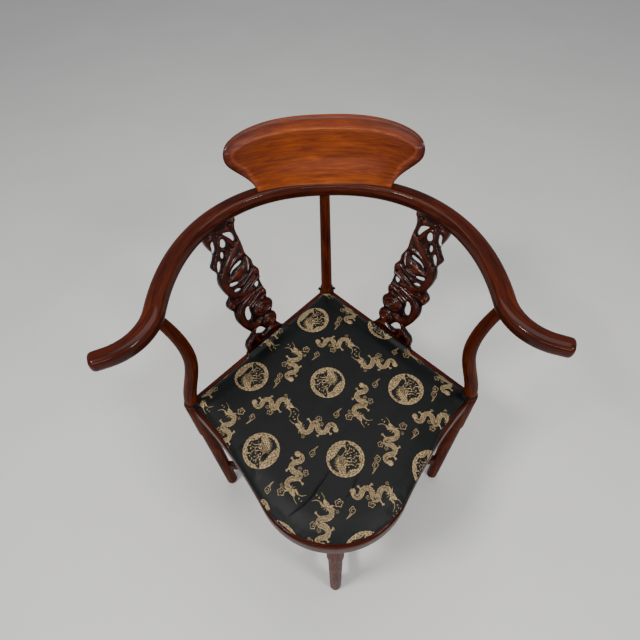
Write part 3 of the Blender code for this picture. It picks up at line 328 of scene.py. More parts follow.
THREAD_TURNS = (radians(38), radians(-52))
WEAVE_STRENGTH = 0.35


def cloth_look(roughness, sheen, sheen_roughness, specular):
    """Shader settings of a cloth's surface."""
    return {"Roughness": roughness, "Sheen Weight": sheen, "Sheen Roughness": sheen_roughness,
            "Specular IOR Level": specular}


def cloth_material(name, stops, settings, thread, depth, tone_scale=38.0):
    """Woven cloth: two fine sets of threads in relief, with a slow change of tone."""
    material, tree, shader = blank_material(name, settings)
    place = object_place(tree)
    tone = noise(tree, place, tone_scale, 4, 0.6)
    tree.links.new(colour_ramp(tree, tone, stops), shader.inputs["Base Color"])
    heights = []
    for turn in THREAD_TURNS:
        turned = node(tree, "Mapping", {"Vector": place, "Rotation": (0, 0, turn)}).outputs["Vector"]
        wave = node(tree, "TexWave", {"Vector": turned, "Scale": thread, "Distortion": 0.6, "Detail": 1.0})
        heights.append(wave.outputs["Fac"])
    weave = node(tree, "Math", {0: heights[0], 1: heights[1]}, operation="MAXIMUM").outputs["Value"]
    add_bump(tree, shader, weave, WEAVE_STRENGTH, depth)
    return material


SATIN = cloth_material(
    "black_brocade", [(0.3, (0.0018, 0.0024, 0.0026)), (0.7, (0.0036, 0.0044, 0.0046))],
    cloth_look(0.46, 0.012, 0.45, 0.17), 190.0, 0.0003)
GOLD_THREAD = cloth_material(
    "gold_thread", [(0.34, (0.104, 0.069, 0.030)), (0.64, (0.366, 0.264, 0.134))],
    cloth_look(0.50, 0.08, 0.4, 0.3), 260.0, 0.0003, 330.0)
TIE_CLOTH = cloth_material(
    "black_cloth", [(0.3, (0.0020, 0.0020, 0.0022)), (0.7, (0.0042, 0.0042, 0.0044))],
    cloth_look(0.7, 0.03, 0.5, 0.15), 240.0, 0.0004)


# Mesh helpers

def smooth_curve(points, per=8, closed=False):
    """Rounded curve through points; extra columns, such as a radius, are carried along."""
    points = np.array(points, float)
    if closed:
        knots = np.vstack([points[-1:], points, points[:2]])
    else:
        knots = np.vstack([2 * points[0] - points[1], points, 2 * points[-1] - points[-2]])
    t = np.linspace(0, 1, per, endpoint=False)[:, None]
    rows = []
    for before, start, end, after in zip(knots, knots[1:], knots[2:], knots[3:]):
        rows.append(0.5 * (2 * start + (end - before) * t
                           + (2 * before - 5 * start + 4 * end - after) * t**2
                           + (3 * start - before - 3 * end + after) * t**3))
    if not closed:
        rows.append(points[-1:])
    return np.vstack(rows)


def bezier(start, first, second, end, steps):
    t = np.linspace(0, 1, steps + 1)[:, None]
    s = 1 - t
    return start * s**3 + first * (3 * s * s * t) + second * (3 * s * t * t) + end * t**3


def run_lengths(points):
    return np.concatenate([[0], np.cumsum(np.linalg.norm(np.diff(points, axis=0), axis=1))])


def resample(points, count):
    lengths = run_lengths(points)
    goals = np.linspace(0, lengths[-1], count)
    return np.stack([np.interp(goals, lengths, points[:, k]) for k in range(points.shape[1])], axis=1)


UP = np.array([0.0, 0.0, 1.0])


def headings_of(points):
    """Unit directions along a line of points."""
    run = np.gradient(points, axis=0)
    return run / np.maximum(np.linalg.norm(run, axis=1), 1e-9)[:, None]


def left_of(headings):
    """Directions in plan a quarter turn to the left of headings."""
    return np.stack([-headings[:, 1], headings[:, 0]], axis=1)


def smooth_step(value):
    value = np.clip(value, 0, 1)
    return value * value * (3 - 2 * value)


def nearest_on(points, start, end):
    """Share along a segment of the place nearest to each point, the gap to it, and that place."""
    run = end - start
    share = np.clip(((points - start) @ run) / max(run @ run, 1e-12), 0, 1)
    near = start + share[:, None] * run
    return share, np.linalg.norm(points - near, axis=1), near


def gap_to_line(points, line):
    """Distance from each point to an open polyline in the same plane."""
    gaps = np.full(len(points), np.inf)
    for start, end in zip(line, line[1:]):
        gaps = np.minimum(gaps, nearest_on(points, start, end)[1])
    return gaps


def finished_mesh(name, vertices, faces, grain, side=RIGHT, merge=1e-7):
    """Closed mesh with outward faces, mirrored for the left side, with its wood coordinates."""
    vertices = np.array(vertices, float) * (side, 1, 1) + SHIFT
    mesh = bpy.data.meshes.new(name)
    mesh.from_pydata(vertices.tolist(), [], faces)
    if grain is not None:
        layer = mesh.attributes.new("grain", "FLOAT_VECTOR", "POINT")
        layer.data.foreach_set("vector", np.array(grain, np.float32).ravel())
    shape = bmesh.new()
    shape.from_mesh(mesh)
    bmesh.ops.remove_doubles(shape, verts=shape.verts, dist=merge)
    bmesh.ops.recalc_face_normals(shape, faces=shape.faces)
    shape.to_mesh(mesh)
    shape.free()
    return mesh


def skin(name, rings, grain, side=RIGHT, looped=False):
    """Skin an array of rings; the ends are capped, or joined to each other when looped."""
    rings = np.array(rings, float)
    count, sides = rings.shape[:2]
    ids = np.arange(count * sides).reshape(count, sides)
    low = ids if looped else ids[:-1]
    high = np.roll(ids, -1, axis=0) if looped else ids[1:]
    faces = np.stack([low, np.roll(low, -1, axis=1), np.roll(high, -1, axis=1), high], axis=-1)
    faces = faces.reshape(-1, 4).tolist()
    if not looped:
        faces += [ids[0][::-1].tolist(), ids[-1].tolist()]
    flat_grain = None if grain is None else np.array(grain, float).reshape(-1, 3)
    return finished_mesh(name, rings.reshape(-1, 3), faces, flat_grain, side)


def add_piece(name, mesh, material, nodes=(), smooth_angle=40):
    mesh.materials.append(material)
    mesh.shade_smooth()
    mesh.set_sharp_from_angle(angle=radians(smooth_angle))
    piece = bpy.data.objects.new(name, mesh)
    bpy.context.collection.objects.link(piece)
    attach(piece, "root")
    if nodes:
        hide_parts(*nodes)
    return piece


ROUND_SIDES = 36


def tube_rows(centres, radii):
    """Rings and wood coordinates of a round bar that lies in one upright plane across the chair."""
    centres = np.array(centres, float)
    across = np.array([0.0, 1.0, 0.0])
    angles = 2 * pi * np.arange(ROUND_SIDES) / ROUND_SIDES
    rows = []
    for centre, heading, radius, length in zip(centres, headings_of(centres), radii, run_lengths(centres)):
        a = radius * np.cos(angles)
        b = radius * np.sin(angles)
        ring = centre + np.outer(a, across) + np.outer(b, np.cross(heading, across))
        rows.append((ring, np.stack([np.full(ROUND_SIDES, length), a, b], axis=1)))
    return rows


def add_wood(name, rows, material, cad_node, side=RIGHT, smooth_angle=40):
    """Add a rosewood piece from rows of a ring and its wood coordinates."""
    rings, grain = zip(*rows)
    add_piece(name, skin(name, rings, grain, side), material, [cad_node], smooth_angle)


# Arm rail in three lengths, with half-lapped joints

CURVE_STEPS = 160
RAIL_SIDES = 44
RAIL_STEP = 0.005
RIDGE_ANGLE = 3 * pi / 4
RIDGE_SPREAD = 0.60
RAIL_SQUARENESS = 2.45
RIDGE_SQUARENESS = 1.3
RIDGE_FADE = 0.7
RAIL_HEADING_STEP = 0.002


def arm_rail_plan():
    power = 2 / ARM_CURVE_POWER
    angle = np.linspace(0, pi / 2, CURVE_STEPS + 1)
    sweep = np.stack([ARM_HALF_WIDTH * np.sin(angle) ** power,
                      ARM_BACK_REACH * np.clip(np.cos(angle), 0, 1) ** power], axis=1)
    turn = np.linspace(0, ARM_TURN_ANGLE, CURVE_STEPS // 2 + 1)[1:]
    bend = np.stack([ARM_HALF_WIDTH + ARM_TURN_RADIUS * (1 - np.cos(turn)),
                     -ARM_TURN_RADIUS * np.sin(turn)], axis=1)
    tip = bend[-1:] + np.array([[sin(ARM_TURN_ANGLE), -cos(ARM_TURN_ANGLE)]]) * ARM_TIP_LENGTH
    return np.vstack([sweep, bend, tip])


RAIL_PLAN = arm_rail_plan()
RAIL_LENGTHS = run_lengths(RAIL_PLAN)
RAIL_HALF_LENGTH = RAIL_LENGTHS[-1]
POST_ON_RAIL = RAIL_LENGTHS[CURVE_STEPS]


def rail_point(distance):
    place = np.array([np.interp(abs(distance), RAIL_LENGTHS, RAIL_PLAN[:, k]) for k in (0, 1)])
    return place * (1 if distance >= 0 else -1, 1)


def rail_section(distance, inset):
    """Rounded square whose upper inner edge is a firmer ridge, which fades along the hand-hold."""
    past_post = max(abs(distance) - POST_ON_RAIL, 0) / (RAIL_HALF_LENGTH - POST_ON_RAIL)
    half_width = (ARM_RAIL_WIDTH + (ARM_RAIL_TIP_WIDTH - ARM_RAIL_WIDTH) * past_post) / 2 - inset
    half_depth = (ARM_RAIL_DEPTH + (ARM_RAIL_TIP_DEPTH - ARM_RAIL_DEPTH) * past_post) / 2 - inset
    angle = 2 * pi * (np.arange(RAIL_SIDES) + 0.5) / RAIL_SIDES
    ridge = np.exp(-(((angle - RIDGE_ANGLE) / RIDGE_SPREAD) ** 2)) * (1 - RIDGE_FADE * past_post)
    power = 2 / (RAIL_SQUARENESS + RIDGE_SQUARENESS * ridge)
    wide = half_width * np.abs(np.cos(angle)) ** power * np.sign(np.cos(angle))
    high = half_depth * np.abs(np.sin(angle)) ** power * np.sign(np.sin(angle))
    return wide, high


def rail_ring(distance, inset=0.0, low=-1.0, high=1.0):
    """Ring of the rail at a distance from the middle of the back, kept between two heights."""
    ahead = rail_point(min(distance + RAIL_HEADING_STEP, RAIL_HALF_LENGTH))
    behind = rail_point(max(distance - RAIL_HEADING_STEP, -RAIL_HALF_LENGTH))
    heading = (ahead - behind) / np.linalg.norm(ahead - behind)
    outward = np.array([-heading[1], heading[0]])
    a, b = rail_section(distance, inset)
    b = np.clip(b, low, high)
    centre = rail_point(distance)
    ring = np.stack([centre[0] + outward[0] * a, centre[1] + outward[1] * a, ARM_RAIL_MIDDLE + b], axis=1)
    return ring, np.stack([np.full(RAIL_SIDES, distance), a, b], axis=1)


def stations(start, end):
    return np.linspace(start, end, max(2, round((end - start) / RAIL_STEP) + 1))


def make_arm_rails():
    lap = RAIL_JOINT_AT - RAIL_LAP
    upper = GAP / 2
    rows = [rail_ring(d, low=upper) for d in stations(-RAIL_JOINT_AT, -lap)]
    rows += [rail_ring(d) for d in stations(-lap, lap)]
    rows += [rail_ring(d, low=upper) for d in stations(lap, RAIL_JOINT_AT)]
    add_wood("rail_back", rows, ROSEWOOD, "arm_rail_back")
    body_start = RAIL_JOINT_AT + GAP
    body_end = RAIL_HALF_LENGTH - ARM_RAIL_END_ROUND
    rows = [rail_ring(d, high=-upper) for d in stations(lap + GAP, body_start)]
    rows += [rail_ring(d) for d in stations(body_start, body_end)]
    for turn in np.linspace(0, pi / 2, 9)[1:]:
        inset = ARM_RAIL_END_ROUND * (1 - cos(turn))
        rows.append(rail_ring(body_end + ARM_RAIL_END_ROUND * sin(turn), inset))
    for side, name in SIDE_NAMES.items():
        add_wood("rail_arm_" + name, rows, ROSEWOOD, "arm_rail_" + name, side, 50)


# Relief plates: a flat drawing in millimetres, raised on both faces

RIDGE_LINE = 1.3
RIDGE_LINE_FROM = 4.2
RIDGE_LINE_AT = 0.66
RIDGE_LINE_SPREAD = 0.13


class Relief:
    """Fine grid over a flat drawing, with its outline, its openings and a height at each point."""

    def __init__(self, low, high, pitch, reach):
        self.across = np.arange(low[0], high[0] + pitch, pitch)
        self.up = np.arange(low[1], high[1] + pitch, pitch)
        self.u, self.v = np.meshgrid(self.across, self.up)
        self.inside = np.zeros(self.u.shape, bool)
        self.edge = np.full(self.u.shape, reach)
        self.near_u = self.u.copy()
        self.near_v = self.v.copy()
        self.height = np.zeros(self.u.shape)
        self.reach = reach

    def window(self, start, end, reach):
        low = np.minimum(start, end) - reach
        high = np.maximum(start, end) + reach
        columns = slice(*np.searchsorted(self.across, (low[0], high[0])))
        rows = slice(*np.searchsorted(self.up, (low[1], high[1])))
        return rows, columns

    def to_segment(self, start, end, part):
        """Nearest points of a segment for one window of the grid, and how far along they lie."""
        run = end - start
        u, v = self.u[part], self.v[part]
        share = ((u - start[0]) * run[0] + (v - start[1]) * run[1]) / max(run @ run, 1e-12)
        share = np.clip(share, 0, 1)
        near_u = start[0] + run[0] * share
        near_v = start[1] + run[1] * share
        return near_u, near_v, share, np.hypot(u - near_u, v - near_v)

    def add_loop(self, loop):
        """An outline or an opening: points inside an odd number of loops are solid."""
        for start, end in zip(loop, np.roll(loop, -1, axis=0)):
            low, high = min(start[1], end[1]), max(start[1], end[1])
            for row in range(*np.searchsorted(self.up, (low, high))):
                cross = start[0] + (end[0] - start[0]) * (self.up[row] - start[1]) / (end[1] - start[1])
                self.inside[row, np.searchsorted(self.across, cross):] ^= True
            part = self.window(start, end, self.reach)
            near_u, near_v, share, gap = self.to_segment(start, end, part)
            closer = gap < self.edge[part]
            self.edge[part] = np.where(closer, gap, self.edge[part])
            self.near_u[part] = np.where(closer, near_u, self.near_u[part])
            self.near_v[part] = np.where(closer, near_v, self.near_v[part])

    def add_stroke(self, knots, crown, base):
        """Rounded ridge along a curve of across, up and half width."""
        line = smooth_curve(knots, 6)
        for start, end in zip(line, line[1:]):
            part = self.window(start[:2], end[:2], max(start[2], end[2]))
            near_u, near_v, share, gap = self.to_segment(start[:2], end[:2], part)
            half = np.maximum(start[2] + (end[2] - start[2]) * share, 0.01)
            round_top = np.sqrt(np.clip(1 - (gap / half) ** 2, 0, 1))
            off_line = (gap / half - RIDGE_LINE_AT) / RIDGE_LINE_SPREAD
            contour = RIDGE_LINE * np.exp(-(off_line**2)) * (half > RIDGE_LINE_FROM)
            lift = np.where(gap < half, base + (crown - base) * round_top - contour, 0)
            self.height[part] = np.maximum(self.height[part], lift)

    def add_groove(self, knots, depth, half):
        """Incised line with soft sides."""
        line = smooth_curve(knots, 6)
        cutting = np.zeros(self.u.shape)
        for start, end in zip(line, line[1:]):
            part = self.window(start, end, half * 2.5)
            gap = self.to_segment(start, end, part)[3]
            cutting[part] = np.maximum(cutting[part], depth * np.exp(-((gap / half) ** 2)))
        self.height -= cutting

    def solid(self, front, back, place, grain):
        """Vertices, faces and wood coordinates of the closed plate between two depth fields."""
        signed = np.where(self.inside, self.edge, -self.edge)
        kept = (signed[:-1, :-1] + signed[1:, :-1] + signed[:-1, 1:] + signed[1:, 1:]) > 0
        for k in range(3):
            crossed = (kept[:-1, :-1] & kept[1:, 1:] & ~kept[:-1, 1:] & ~kept[1:, :-1])
            other = (kept[:-1, 1:] & kept[1:, :-1] & ~kept[:-1, :-1] & ~kept[1:, 1:])
            kept[:-1, 1:] |= crossed
            kept[:-1, :-1] |= other
        padded = np.pad(kept, 1)
        touching = np.stack([padded[:-1, :-1], padded[1:, :-1], padded[:-1, 1:], padded[1:, 1:]])
        used = touching.any(axis=0)
        border = used & ~touching.all(axis=0)
        u = np.where(border, self.near_u, self.u)[used]
        v = np.where(border, self.near_v, self.v)[used]
        count = used.sum()
        ids = np.full(used.shape, -1)
        ids[used] = np.arange(count)
        rows, columns = np.nonzero(kept)
        corners = [ids[rows, columns], ids[rows, columns + 1],
                   ids[rows + 1, columns + 1], ids[rows + 1, columns]]
        quads = np.stack(corners, axis=1)
        faces = [quads, quads[:, ::-1] + count]
        outside = [padded[rows, columns + 1], padded[rows + 1, columns + 2],
                   padded[rows + 2, columns + 1], padded[rows + 1, columns]]
        for k, beyond in enumerate(outside):
            start = corners[k][~beyond]
            end = corners[(k + 1) % 4][~beyond]
            faces.append(np.stack([end, start, start + count, end + count], axis=1))
        depth = np.concatenate([front[used], back[used]])
        u = np.tile(u, 2)
        v = np.tile(v, 2)
        return place(u, v, depth), np.vstack(faces).tolist(), grain(u, v, depth)


# Crest panel

CREST_AROUND = 320
CREST_BORDER_RINGS = 10
CREST_PANEL_RINGS = 22
CREST_BACK_RINGS = 10
CREST_SPINE_SHARE = 0.62
CREST_SPINE_HEIGHT = 0.838
CREST_BORDER = 0.0165
CREST_NECK_BORDER = 0.004
CREST_BORDER_DROP = 0.0095
CREST_BACK_DROP = 0.005
CREST_DISH = 0.0042
CREST_DISH_REACH = 0.011
CREST_NECK_SUNK = 0.005
CREST_FADE_FROM = 0.800
CREST_FADE_OVER = 0.040
CREST_BACK_ROUND = 0.008
CREST_NECK_ROLL = 0.35
CREST_NECK_DISH = 0.25
CREST_RIDGE_TRIES = 47
CREST_RIDGE_LIMIT = 0.92
CREST_SPINE_STOP = 0.97


def crest_outline():
    """Closed outline in x and z: a flattened round above, drawn in to the neck below."""
    rise = CREST_TOP - CREST_WIDEST_AT
    angle = np.linspace(0, pi, 181)
    power = 2 / CREST_ROUNDNESS
    upper = np.stack([
        CREST_HALF_WIDTH * np.abs(np.cos(angle)) ** power * np.sign(np.cos(angle)),
        CREST_WIDEST_AT + rise * np.clip(np.sin(angle), 0, 1) ** power], axis=1)
    pull = np.array([0, (CREST_WIDEST_AT - ARM_RAIL_TOP) * CREST_NECK_PULL])
    neck = np.array([CREST_NECK_HALF, ARM_RAIL_TOP - CREST_NECK_SUNK])
    right = bezier(upper[0], upper[0] - pull, neck + pull, neck, 40)
    foot = np.array([CREST_NECK_HALF, ARM_RAIL_TOP - CREST_SUNK])
    left = right * (-1, 1)
    return np.vstack([upper, left[1:], foot * (-1, 1), foot, right[::-1]])


def crest_border(height):
    """Width of the rolled border, which narrows down the neck."""
    fade = smooth_step((height - CREST_FADE_FROM) / CREST_FADE_OVER)
    return CREST_NECK_BORDER + (CREST_BORDER - CREST_NECK_BORDER) * fade, fade


def crest_front(edge, height):
    """Depth of the front face: a rolled border, a ridge, and a shallow dish inside it."""
    border, fade = crest_border(height)
    share = 1 - np.clip(edge / border, 0, 1)
    roll = CREST_BORDER_DROP * (CREST_NECK_ROLL + (1 - CREST_NECK_ROLL) * fade)
    roll = roll * (0.45 * share + 0.55 * share**2.6)
    dish = CREST_DISH * (1 - np.exp(-np.clip(edge - border, 0, None) / CREST_DISH_REACH))
    return roll + dish * (CREST_NECK_DISH + (1 - CREST_NECK_DISH) * fade)


def ridge_shares(around, spine, outline):
    """How far along each line from the outline to the spine the ridge lies."""
    shares = np.linspace(0, CREST_RIDGE_LIMIT, CREST_RIDGE_TRIES)
    over = []
    for share in shares:
        flat = around + (spine - around) * share
        over.append(gap_to_line(flat, outline) - crest_border(flat[:, 1])[0])
    over = np.array(over)
    after = np.maximum((over > 0).argmax(axis=0), 1)
    column = np.arange(len(around))
    low, high = over[after - 1, column], over[after, column]
    return shares[after - 1] + (shares[after] - shares[after - 1]) * np.clip(-low / (high - low), 0, 1)


def crest_back(edge, height):
    inner = np.clip(edge / CREST_BACK_ROUND, 0, 1)
    return CREST_THICKNESS - CREST_BACK_DROP * (1 - np.sqrt(1 - (1 - inner) ** 2))


def make_crest():
    outline = crest_outline()
    around = resample(outline, CREST_AROUND + 1)[:-1]
    spine = np.stack([around[:, 0] * CREST_SPINE_SHARE, np.full(CREST_AROUND, CREST_SPINE_HEIGHT)], axis=1)
    rings = []
    grain = []
    back_shares = np.linspace(0.95, 0, CREST_BACK_RINGS) ** 1.6
    ridge = ridge_shares(around, spine, outline)[:, None]
    front_shares = [ridge * part for part in np.linspace(0, 1, CREST_BORDER_RINGS) ** 0.8]
    panel_parts = np.linspace(0, 1, CREST_PANEL_RINGS)[1:] ** 1.5
    front_shares += [ridge + (CREST_SPINE_STOP - ridge) * part for part in panel_parts]
    for shares, depth_of in ((back_shares, crest_back), (front_shares, crest_front)):
        for share in shares:
            flat = around + (spine - around) * share
            x, height = flat.T
            edge = gap_to_line(flat, outline)
            depth = depth_of(edge, height)
            on_border = (depth_of is crest_front) & (edge < crest_border(height)[0])
            curve = 1 - np.clip(np.abs(x) / CREST_CURVE_HALF_WIDTH, 0, 1) ** CREST_CURVE_POWER
            y = CREST_CURVE_REACH * curve ** (1 / CREST_CURVE_POWER) - CREST_THICKNESS / 2
            y = y + CREST_LEAN * (height - CREST_LEAN_FROM) + depth
            rings.append(np.stack([x, y, height], axis=1))
            # The third wood coordinate is the depth, negative on the rolled border, which places the crest's
            # painted shade and painted highlight
            grain.append(np.stack([x, height, np.where(on_border, -depth, depth)], axis=1))
    add_piece("crest", skin("crest", rings, grain), CREST_WOOD, ["crest_panel"], 60)


# Legs and posts

LEG_SHOULDER = 0.004
FRONT_LEG_TUCK = 0.01
RING_APART = 1e-6
POST_RINGS = 16
POST_LOWER_STEPS = 24
POST_UPPER_STEPS = 20


def leg_profile():
    """Heights and radii from the rounded foot to the top of the block between the seat rails."""
    profile = []
    for turn in np.linspace(0, pi / 2, 7):
        profile.append((FOOT_ROUND * (1 - cos(turn)), FOOT_RADIUS - FOOT_ROUND * (1 - sin(turn))))
    start = profile[-1]
    for share in np.linspace(0, 1, 12)[1:]:
        height = start[0] + (BLOCK_BOTTOM - LEG_SHOULDER - start[0]) * share
        profile.append((height, start[1] + (LEG_RADIUS - start[1]) * share))
    for turn in np.linspace(0, pi / 2, 6)[1:]:
        height = BLOCK_BOTTOM - LEG_SHOULDER * cos(turn)
        profile.append((height, LEG_RADIUS + (BLOCK_RADIUS - LEG_RADIUS) * sin(turn)))
    for height in np.linspace(BLOCK_BOTTOM + 0.02, SEAT_HEIGHT, 5):
        profile.append((height, BLOCK_RADIUS))
    return profile


def arm_post_path():
    """Bowed line of the right-hand arm post, from seat to rail, with its radii."""
    foot = np.array([SIDE_REACH, 0, POST_FOOT])
    waist = np.array([SIDE_REACH - ARM_POST_WAIST_INSET, 0, ARM_POST_WAIST_HEIGHT])
    head = np.array([ARM_POST_HEAD_REACH, 0, ARM_RAIL_MIDDLE - ARM_RAIL_DEPTH / 4])
    rise = np.array([0, 0, (ARM_POST_WAIST_HEIGHT - POST_FOOT) / 3])
    pull = np.array([ARM_POST_FOOT_PULL, 0, 0])
    lower = bezier(foot, foot - pull + rise, waist - rise, waist, POST_LOWER_STEPS)
    reach = (head[2] - waist[2]) / 3
    lean = np.array([-ARM_POST_HEAD_LEAN, 0, -1]) * reach
    upper = bezier(waist, waist + np.array([0, 0, reach]), head + lean, head, POST_UPPER_STEPS)
    radii = list(np.linspace(ARM_POST_SEAT_RADIUS, ARM_POST_WAIST_RADIUS, POST_LOWER_STEPS, endpoint=False))
    radii += list(np.linspace(ARM_POST_WAIST_RADIUS, ARM_POST_TOP_RADIUS, POST_UPPER_STEPS + 1))
    return np.vstack([lower, upper[1:]]), radii


def side_leg_x(height):
    share = max(height - FOOT_ROUND, 0) / (SEAT_HEIGHT - FOOT_ROUND)
    return SIDE_REACH - SIDE_LEG_LEAN * (1 - share)


def make_legs():
    heights, radii = (list(column) for column in zip(*leg_profile()))
    front_heights = [min(height, SEAT_RAIL_BOTTOM + FRONT_LEG_TUCK) for height in heights]
    centres = [(0, FRONT_LEG_Y, height + RING_APART * k) for k, height in enumerate(front_heights)]
    add_wood("leg_front", tube_rows(centres, radii), LEG_WOOD, "front_leg")
    tops = np.linspace(POST_FOOT, ARM_RAIL_MIDDLE, POST_RINGS)
    top_radii = np.linspace(REAR_POST_SEAT_RADIUS, REAR_POST_TOP_RADIUS, POST_RINGS)
    centres = [(0, REAR_REACH, height) for height in [*heights, *tops]]
    add_wood("leg_rear", tube_rows(centres, [*radii, *top_radii]), LEG_WOOD, "rear_leg_post")
    path, post_radii = arm_post_path()
    centres = np.vstack([[(side_leg_x(height), 0, height) for height in heights], path])
    rows = tube_rows(centres, radii + post_radii)
    for side, name in SIDE_NAMES.items():
        add_wood("leg_" + name, rows, LEG_WOOD, name + "_leg_post", side)


# Seat rails and stretchers

def rear_edge(offset):
    """Right-hand rear edge in plan, from the rear corner to the side corner, drawn in by offset."""
    shift = (RAIL_PAST_AXIS - offset) * hypot(SIDE_REACH, REAR_REACH)
    return np.array([0, REAR_REACH + shift / SIDE_REACH]), np.array([SIDE_REACH + shift / REAR_REACH, 0])


def front_edge(offset):
    """Right-hand front edge in plan, from the front corner to the side corner, drawn in by offset."""
    angle = np.linspace(-BOW_HALF_ANGLE / 16, BOW_HALF_ANGLE, 69)
    bow = np.stack([BOW_RADIUS * np.sin(angle), BOW_RADIUS - FRONT_REACH - BOW_RADIUS * np.cos(angle)],
                   axis=1)
    corner = rear_edge(0)[1]
    leaving = np.array([cos(BOW_HALF_ANGLE), sin(BOW_HALF_ANGLE)]) * SERPENTINE_HANDLE
    heading = np.array([cos(SIDE_HEADING), sin(SIDE_HEADING)])
    wave = bezier(bow[-1], bow[-1] + leaving, corner - heading * SERPENTINE_HANDLE, corner, 64)[1:]
    points = np.vstack([bow, wave, corner + heading * SEAT_RAIL_WIDTH])
    return points + left_of(headings_of(points)) * offset


def between(points, low_x, high_y):
    """Part of the front edge with x above low_x and y below high_y, cut exactly at both ends."""
    kept = []
    for before, after in zip(points, points[1:]):
        if before[0] < low_x <= after[0]:
            kept.append(before + (after - before) * (low_x - before[0]) / (after[0] - before[0]))
        if after[0] > low_x and after[1] < high_y:
            kept.append(after)
        if before[1] < high_y <= after[1] and before[0] > low_x:
            kept.append(before + (after - before) * (high_y - before[1]) / (after[1] - before[1]))
            break
    return np.array(kept)


# Section of a seat rail: inset from the outer face, and height
SEAT_SECTION = [
    (0.0030, SEAT_RAIL_BOTTOM), (0.0012, SEAT_RAIL_BOTTOM + 0.0006), (0.0003, SEAT_RAIL_BOTTOM + 0.0020),
    (0.0, SEAT_RAIL_BOTTOM + 0.0045), (0.0, SEAT_HEIGHT - 0.020), (0.0, SEAT_HEIGHT - 0.0075),
    (0.0003, SEAT_HEIGHT - 0.0048), (0.0012, SEAT_HEIGHT - 0.0025), (0.0027, SEAT_HEIGHT - 0.0009),
    (0.0048, SEAT_HEIGHT - 0.0001), (0.0075, SEAT_HEIGHT), (0.020, SEAT_HEIGHT), (0.0455, SEAT_HEIGHT),
    (0.046, SEAT_HEIGHT - 0.0005), (0.046, SEAT_RAIL_BOTTOM + 0.0005), (0.0455, SEAT_RAIL_BOTTOM)]


def seat_rail_rows(edge_of, count):
    """Rings and wood coordinates of a right-hand seat rail; edge_of gives its plan at an inset."""
    insets, heights = np.array(SEAT_SECTION).T
    plans = np.stack([resample(edge_of(inset), count) for inset in insets], axis=1)
    rings = np.dstack([plans, np.tile(heights, (count, 1))])
    rows = []
    for ring, length in zip(rings, run_lengths(rings[:, 0])):
        rows.append((ring, np.column_stack([np.full(len(ring), length), insets, heights])))
    return rows


def rear_rail_line(offset):
    rear, to_side = rear_edge(offset)
    run = to_side - rear
    return np.array([rear + run * (GAP / 2 / run[0]), to_side + run * (GAP / 2 / run[1])])


def front_rail_line(offset):
    return between(front_edge(offset), GAP / 2, -GAP / 2)


REAR_RAIL_RINGS = 14
FRONT_RAIL_RINGS = 70
BAR_RINGS = 9
BAR_ROUND = 0.0022
BAR_SHORT_OF_AXIS = 0.008


def bar_rows(start, end, across, low, high):
    """Rings and wood coordinates of a stretcher with rounded edges between two points in plan."""
    start, end, across = (np.array(point, float) for point in (start, end, across))
    middle = (low + high) / 2
    half_width = STRETCHER_THICKNESS / 2 - BAR_ROUND
    half_height = (high - low) / 2 - BAR_ROUND
    section = []
    for a_sign, b_sign, begin in ((1, 1, 0), (-1, 1, 90), (-1, -1, 180), (1, -1, 270)):
        for turn in np.linspace(begin, begin + 90, 5):
            section.append((a_sign * half_width + BAR_ROUND * cos(radians(turn)),
                            b_sign * half_height + BAR_ROUND * sin(radians(turn))))
    a, b = np.array(section).T
    rows = []
    for share in np.linspace(0, 1, BAR_RINGS):
        centre = start + (end - start) * share
        ring = np.stack([centre[0] + across[0] * a, centre[1] + across[1] * a, middle + b], axis=1)
        along = np.full(len(section), np.linalg.norm(end - start) * share)
        rows.append((ring, np.stack([along, a, b], axis=1)))
    return rows


def make_seat_frame():
    rear = seat_rail_rows(rear_rail_line, REAR_RAIL_RINGS)
    front = seat_rail_rows(front_rail_line, FRONT_RAIL_RINGS)
    for side, name in SIDE_NAMES.items():
        add_wood("seat_rear_" + name, rear, ROSEWOOD, "seat_rail_rear_" + name, side)
        add_wood("seat_front_" + name, front, FRAME_WOOD, "seat_rail_front_" + name, side)
    top = STRETCHER_BOTTOM + STRETCHER_HEIGHT
    reach = side_leg_x(STRETCHER_BOTTOM) - BAR_SHORT_OF_AXIS
    bar = bar_rows((-reach, 0), (reach, 0), (0, 1), STRETCHER_BOTTOM, top)
    add_wood("bar_side", bar, FRAME_WOOD, "stretcher_side")
    bar = bar_rows((0, FRONT_LEG_Y + BAR_SHORT_OF_AXIS), (0, REAR_REACH - BAR_SHORT_OF_AXIS), (1, 0),
                   STRETCHER_BOTTOM + GAP, top - GAP)
    add_wood("bar_front_rear", bar, FRAME_WOOD, "stretcher_front_rear")


# Carved splats: a coiling dragon among clouds, drawn in millimetres across and up

SPLAT_PITCH = 0.85
SPLAT_GROUND = 3.4
SPLAT_ROUND = 3.2
SPLAT_OUTLINE = [
    (58, 0), (57, 9), (53, 18), (48, 28), (51, 36), (54, 45), (52, 54), (47, 62), (53, 70), (57, 80),
    (55, 90), (48, 100), (51, 110), (52, 117), (49, 128), (48, 148), (51, 156), (55, 170), (51, 180),
    (47, 188), (47, 200), (42, 214), (39, 224), (40, 245), (39, 262), (38, 278), (41, 290),
    (46, 300), (46, 318),
    (-33, 318), (-33, 296), (-32, 284), (-28, 270), (-24, 259), (-32, 246), (-40, 238), (-39, 230),
    (-34, 219), (-38, 205), (-40, 194), (-38, 178), (-34, 164), (-32, 157), (-41, 150), (-45, 141),
    (-42, 130), (-36, 120), (-38, 106), (-38, 94), (-34, 80), (-29, 66), (-21, 51), (-16, 42),
    (-27, 37), (-39, 31), (-45, 21), (-46, 8), (-46, 0)]
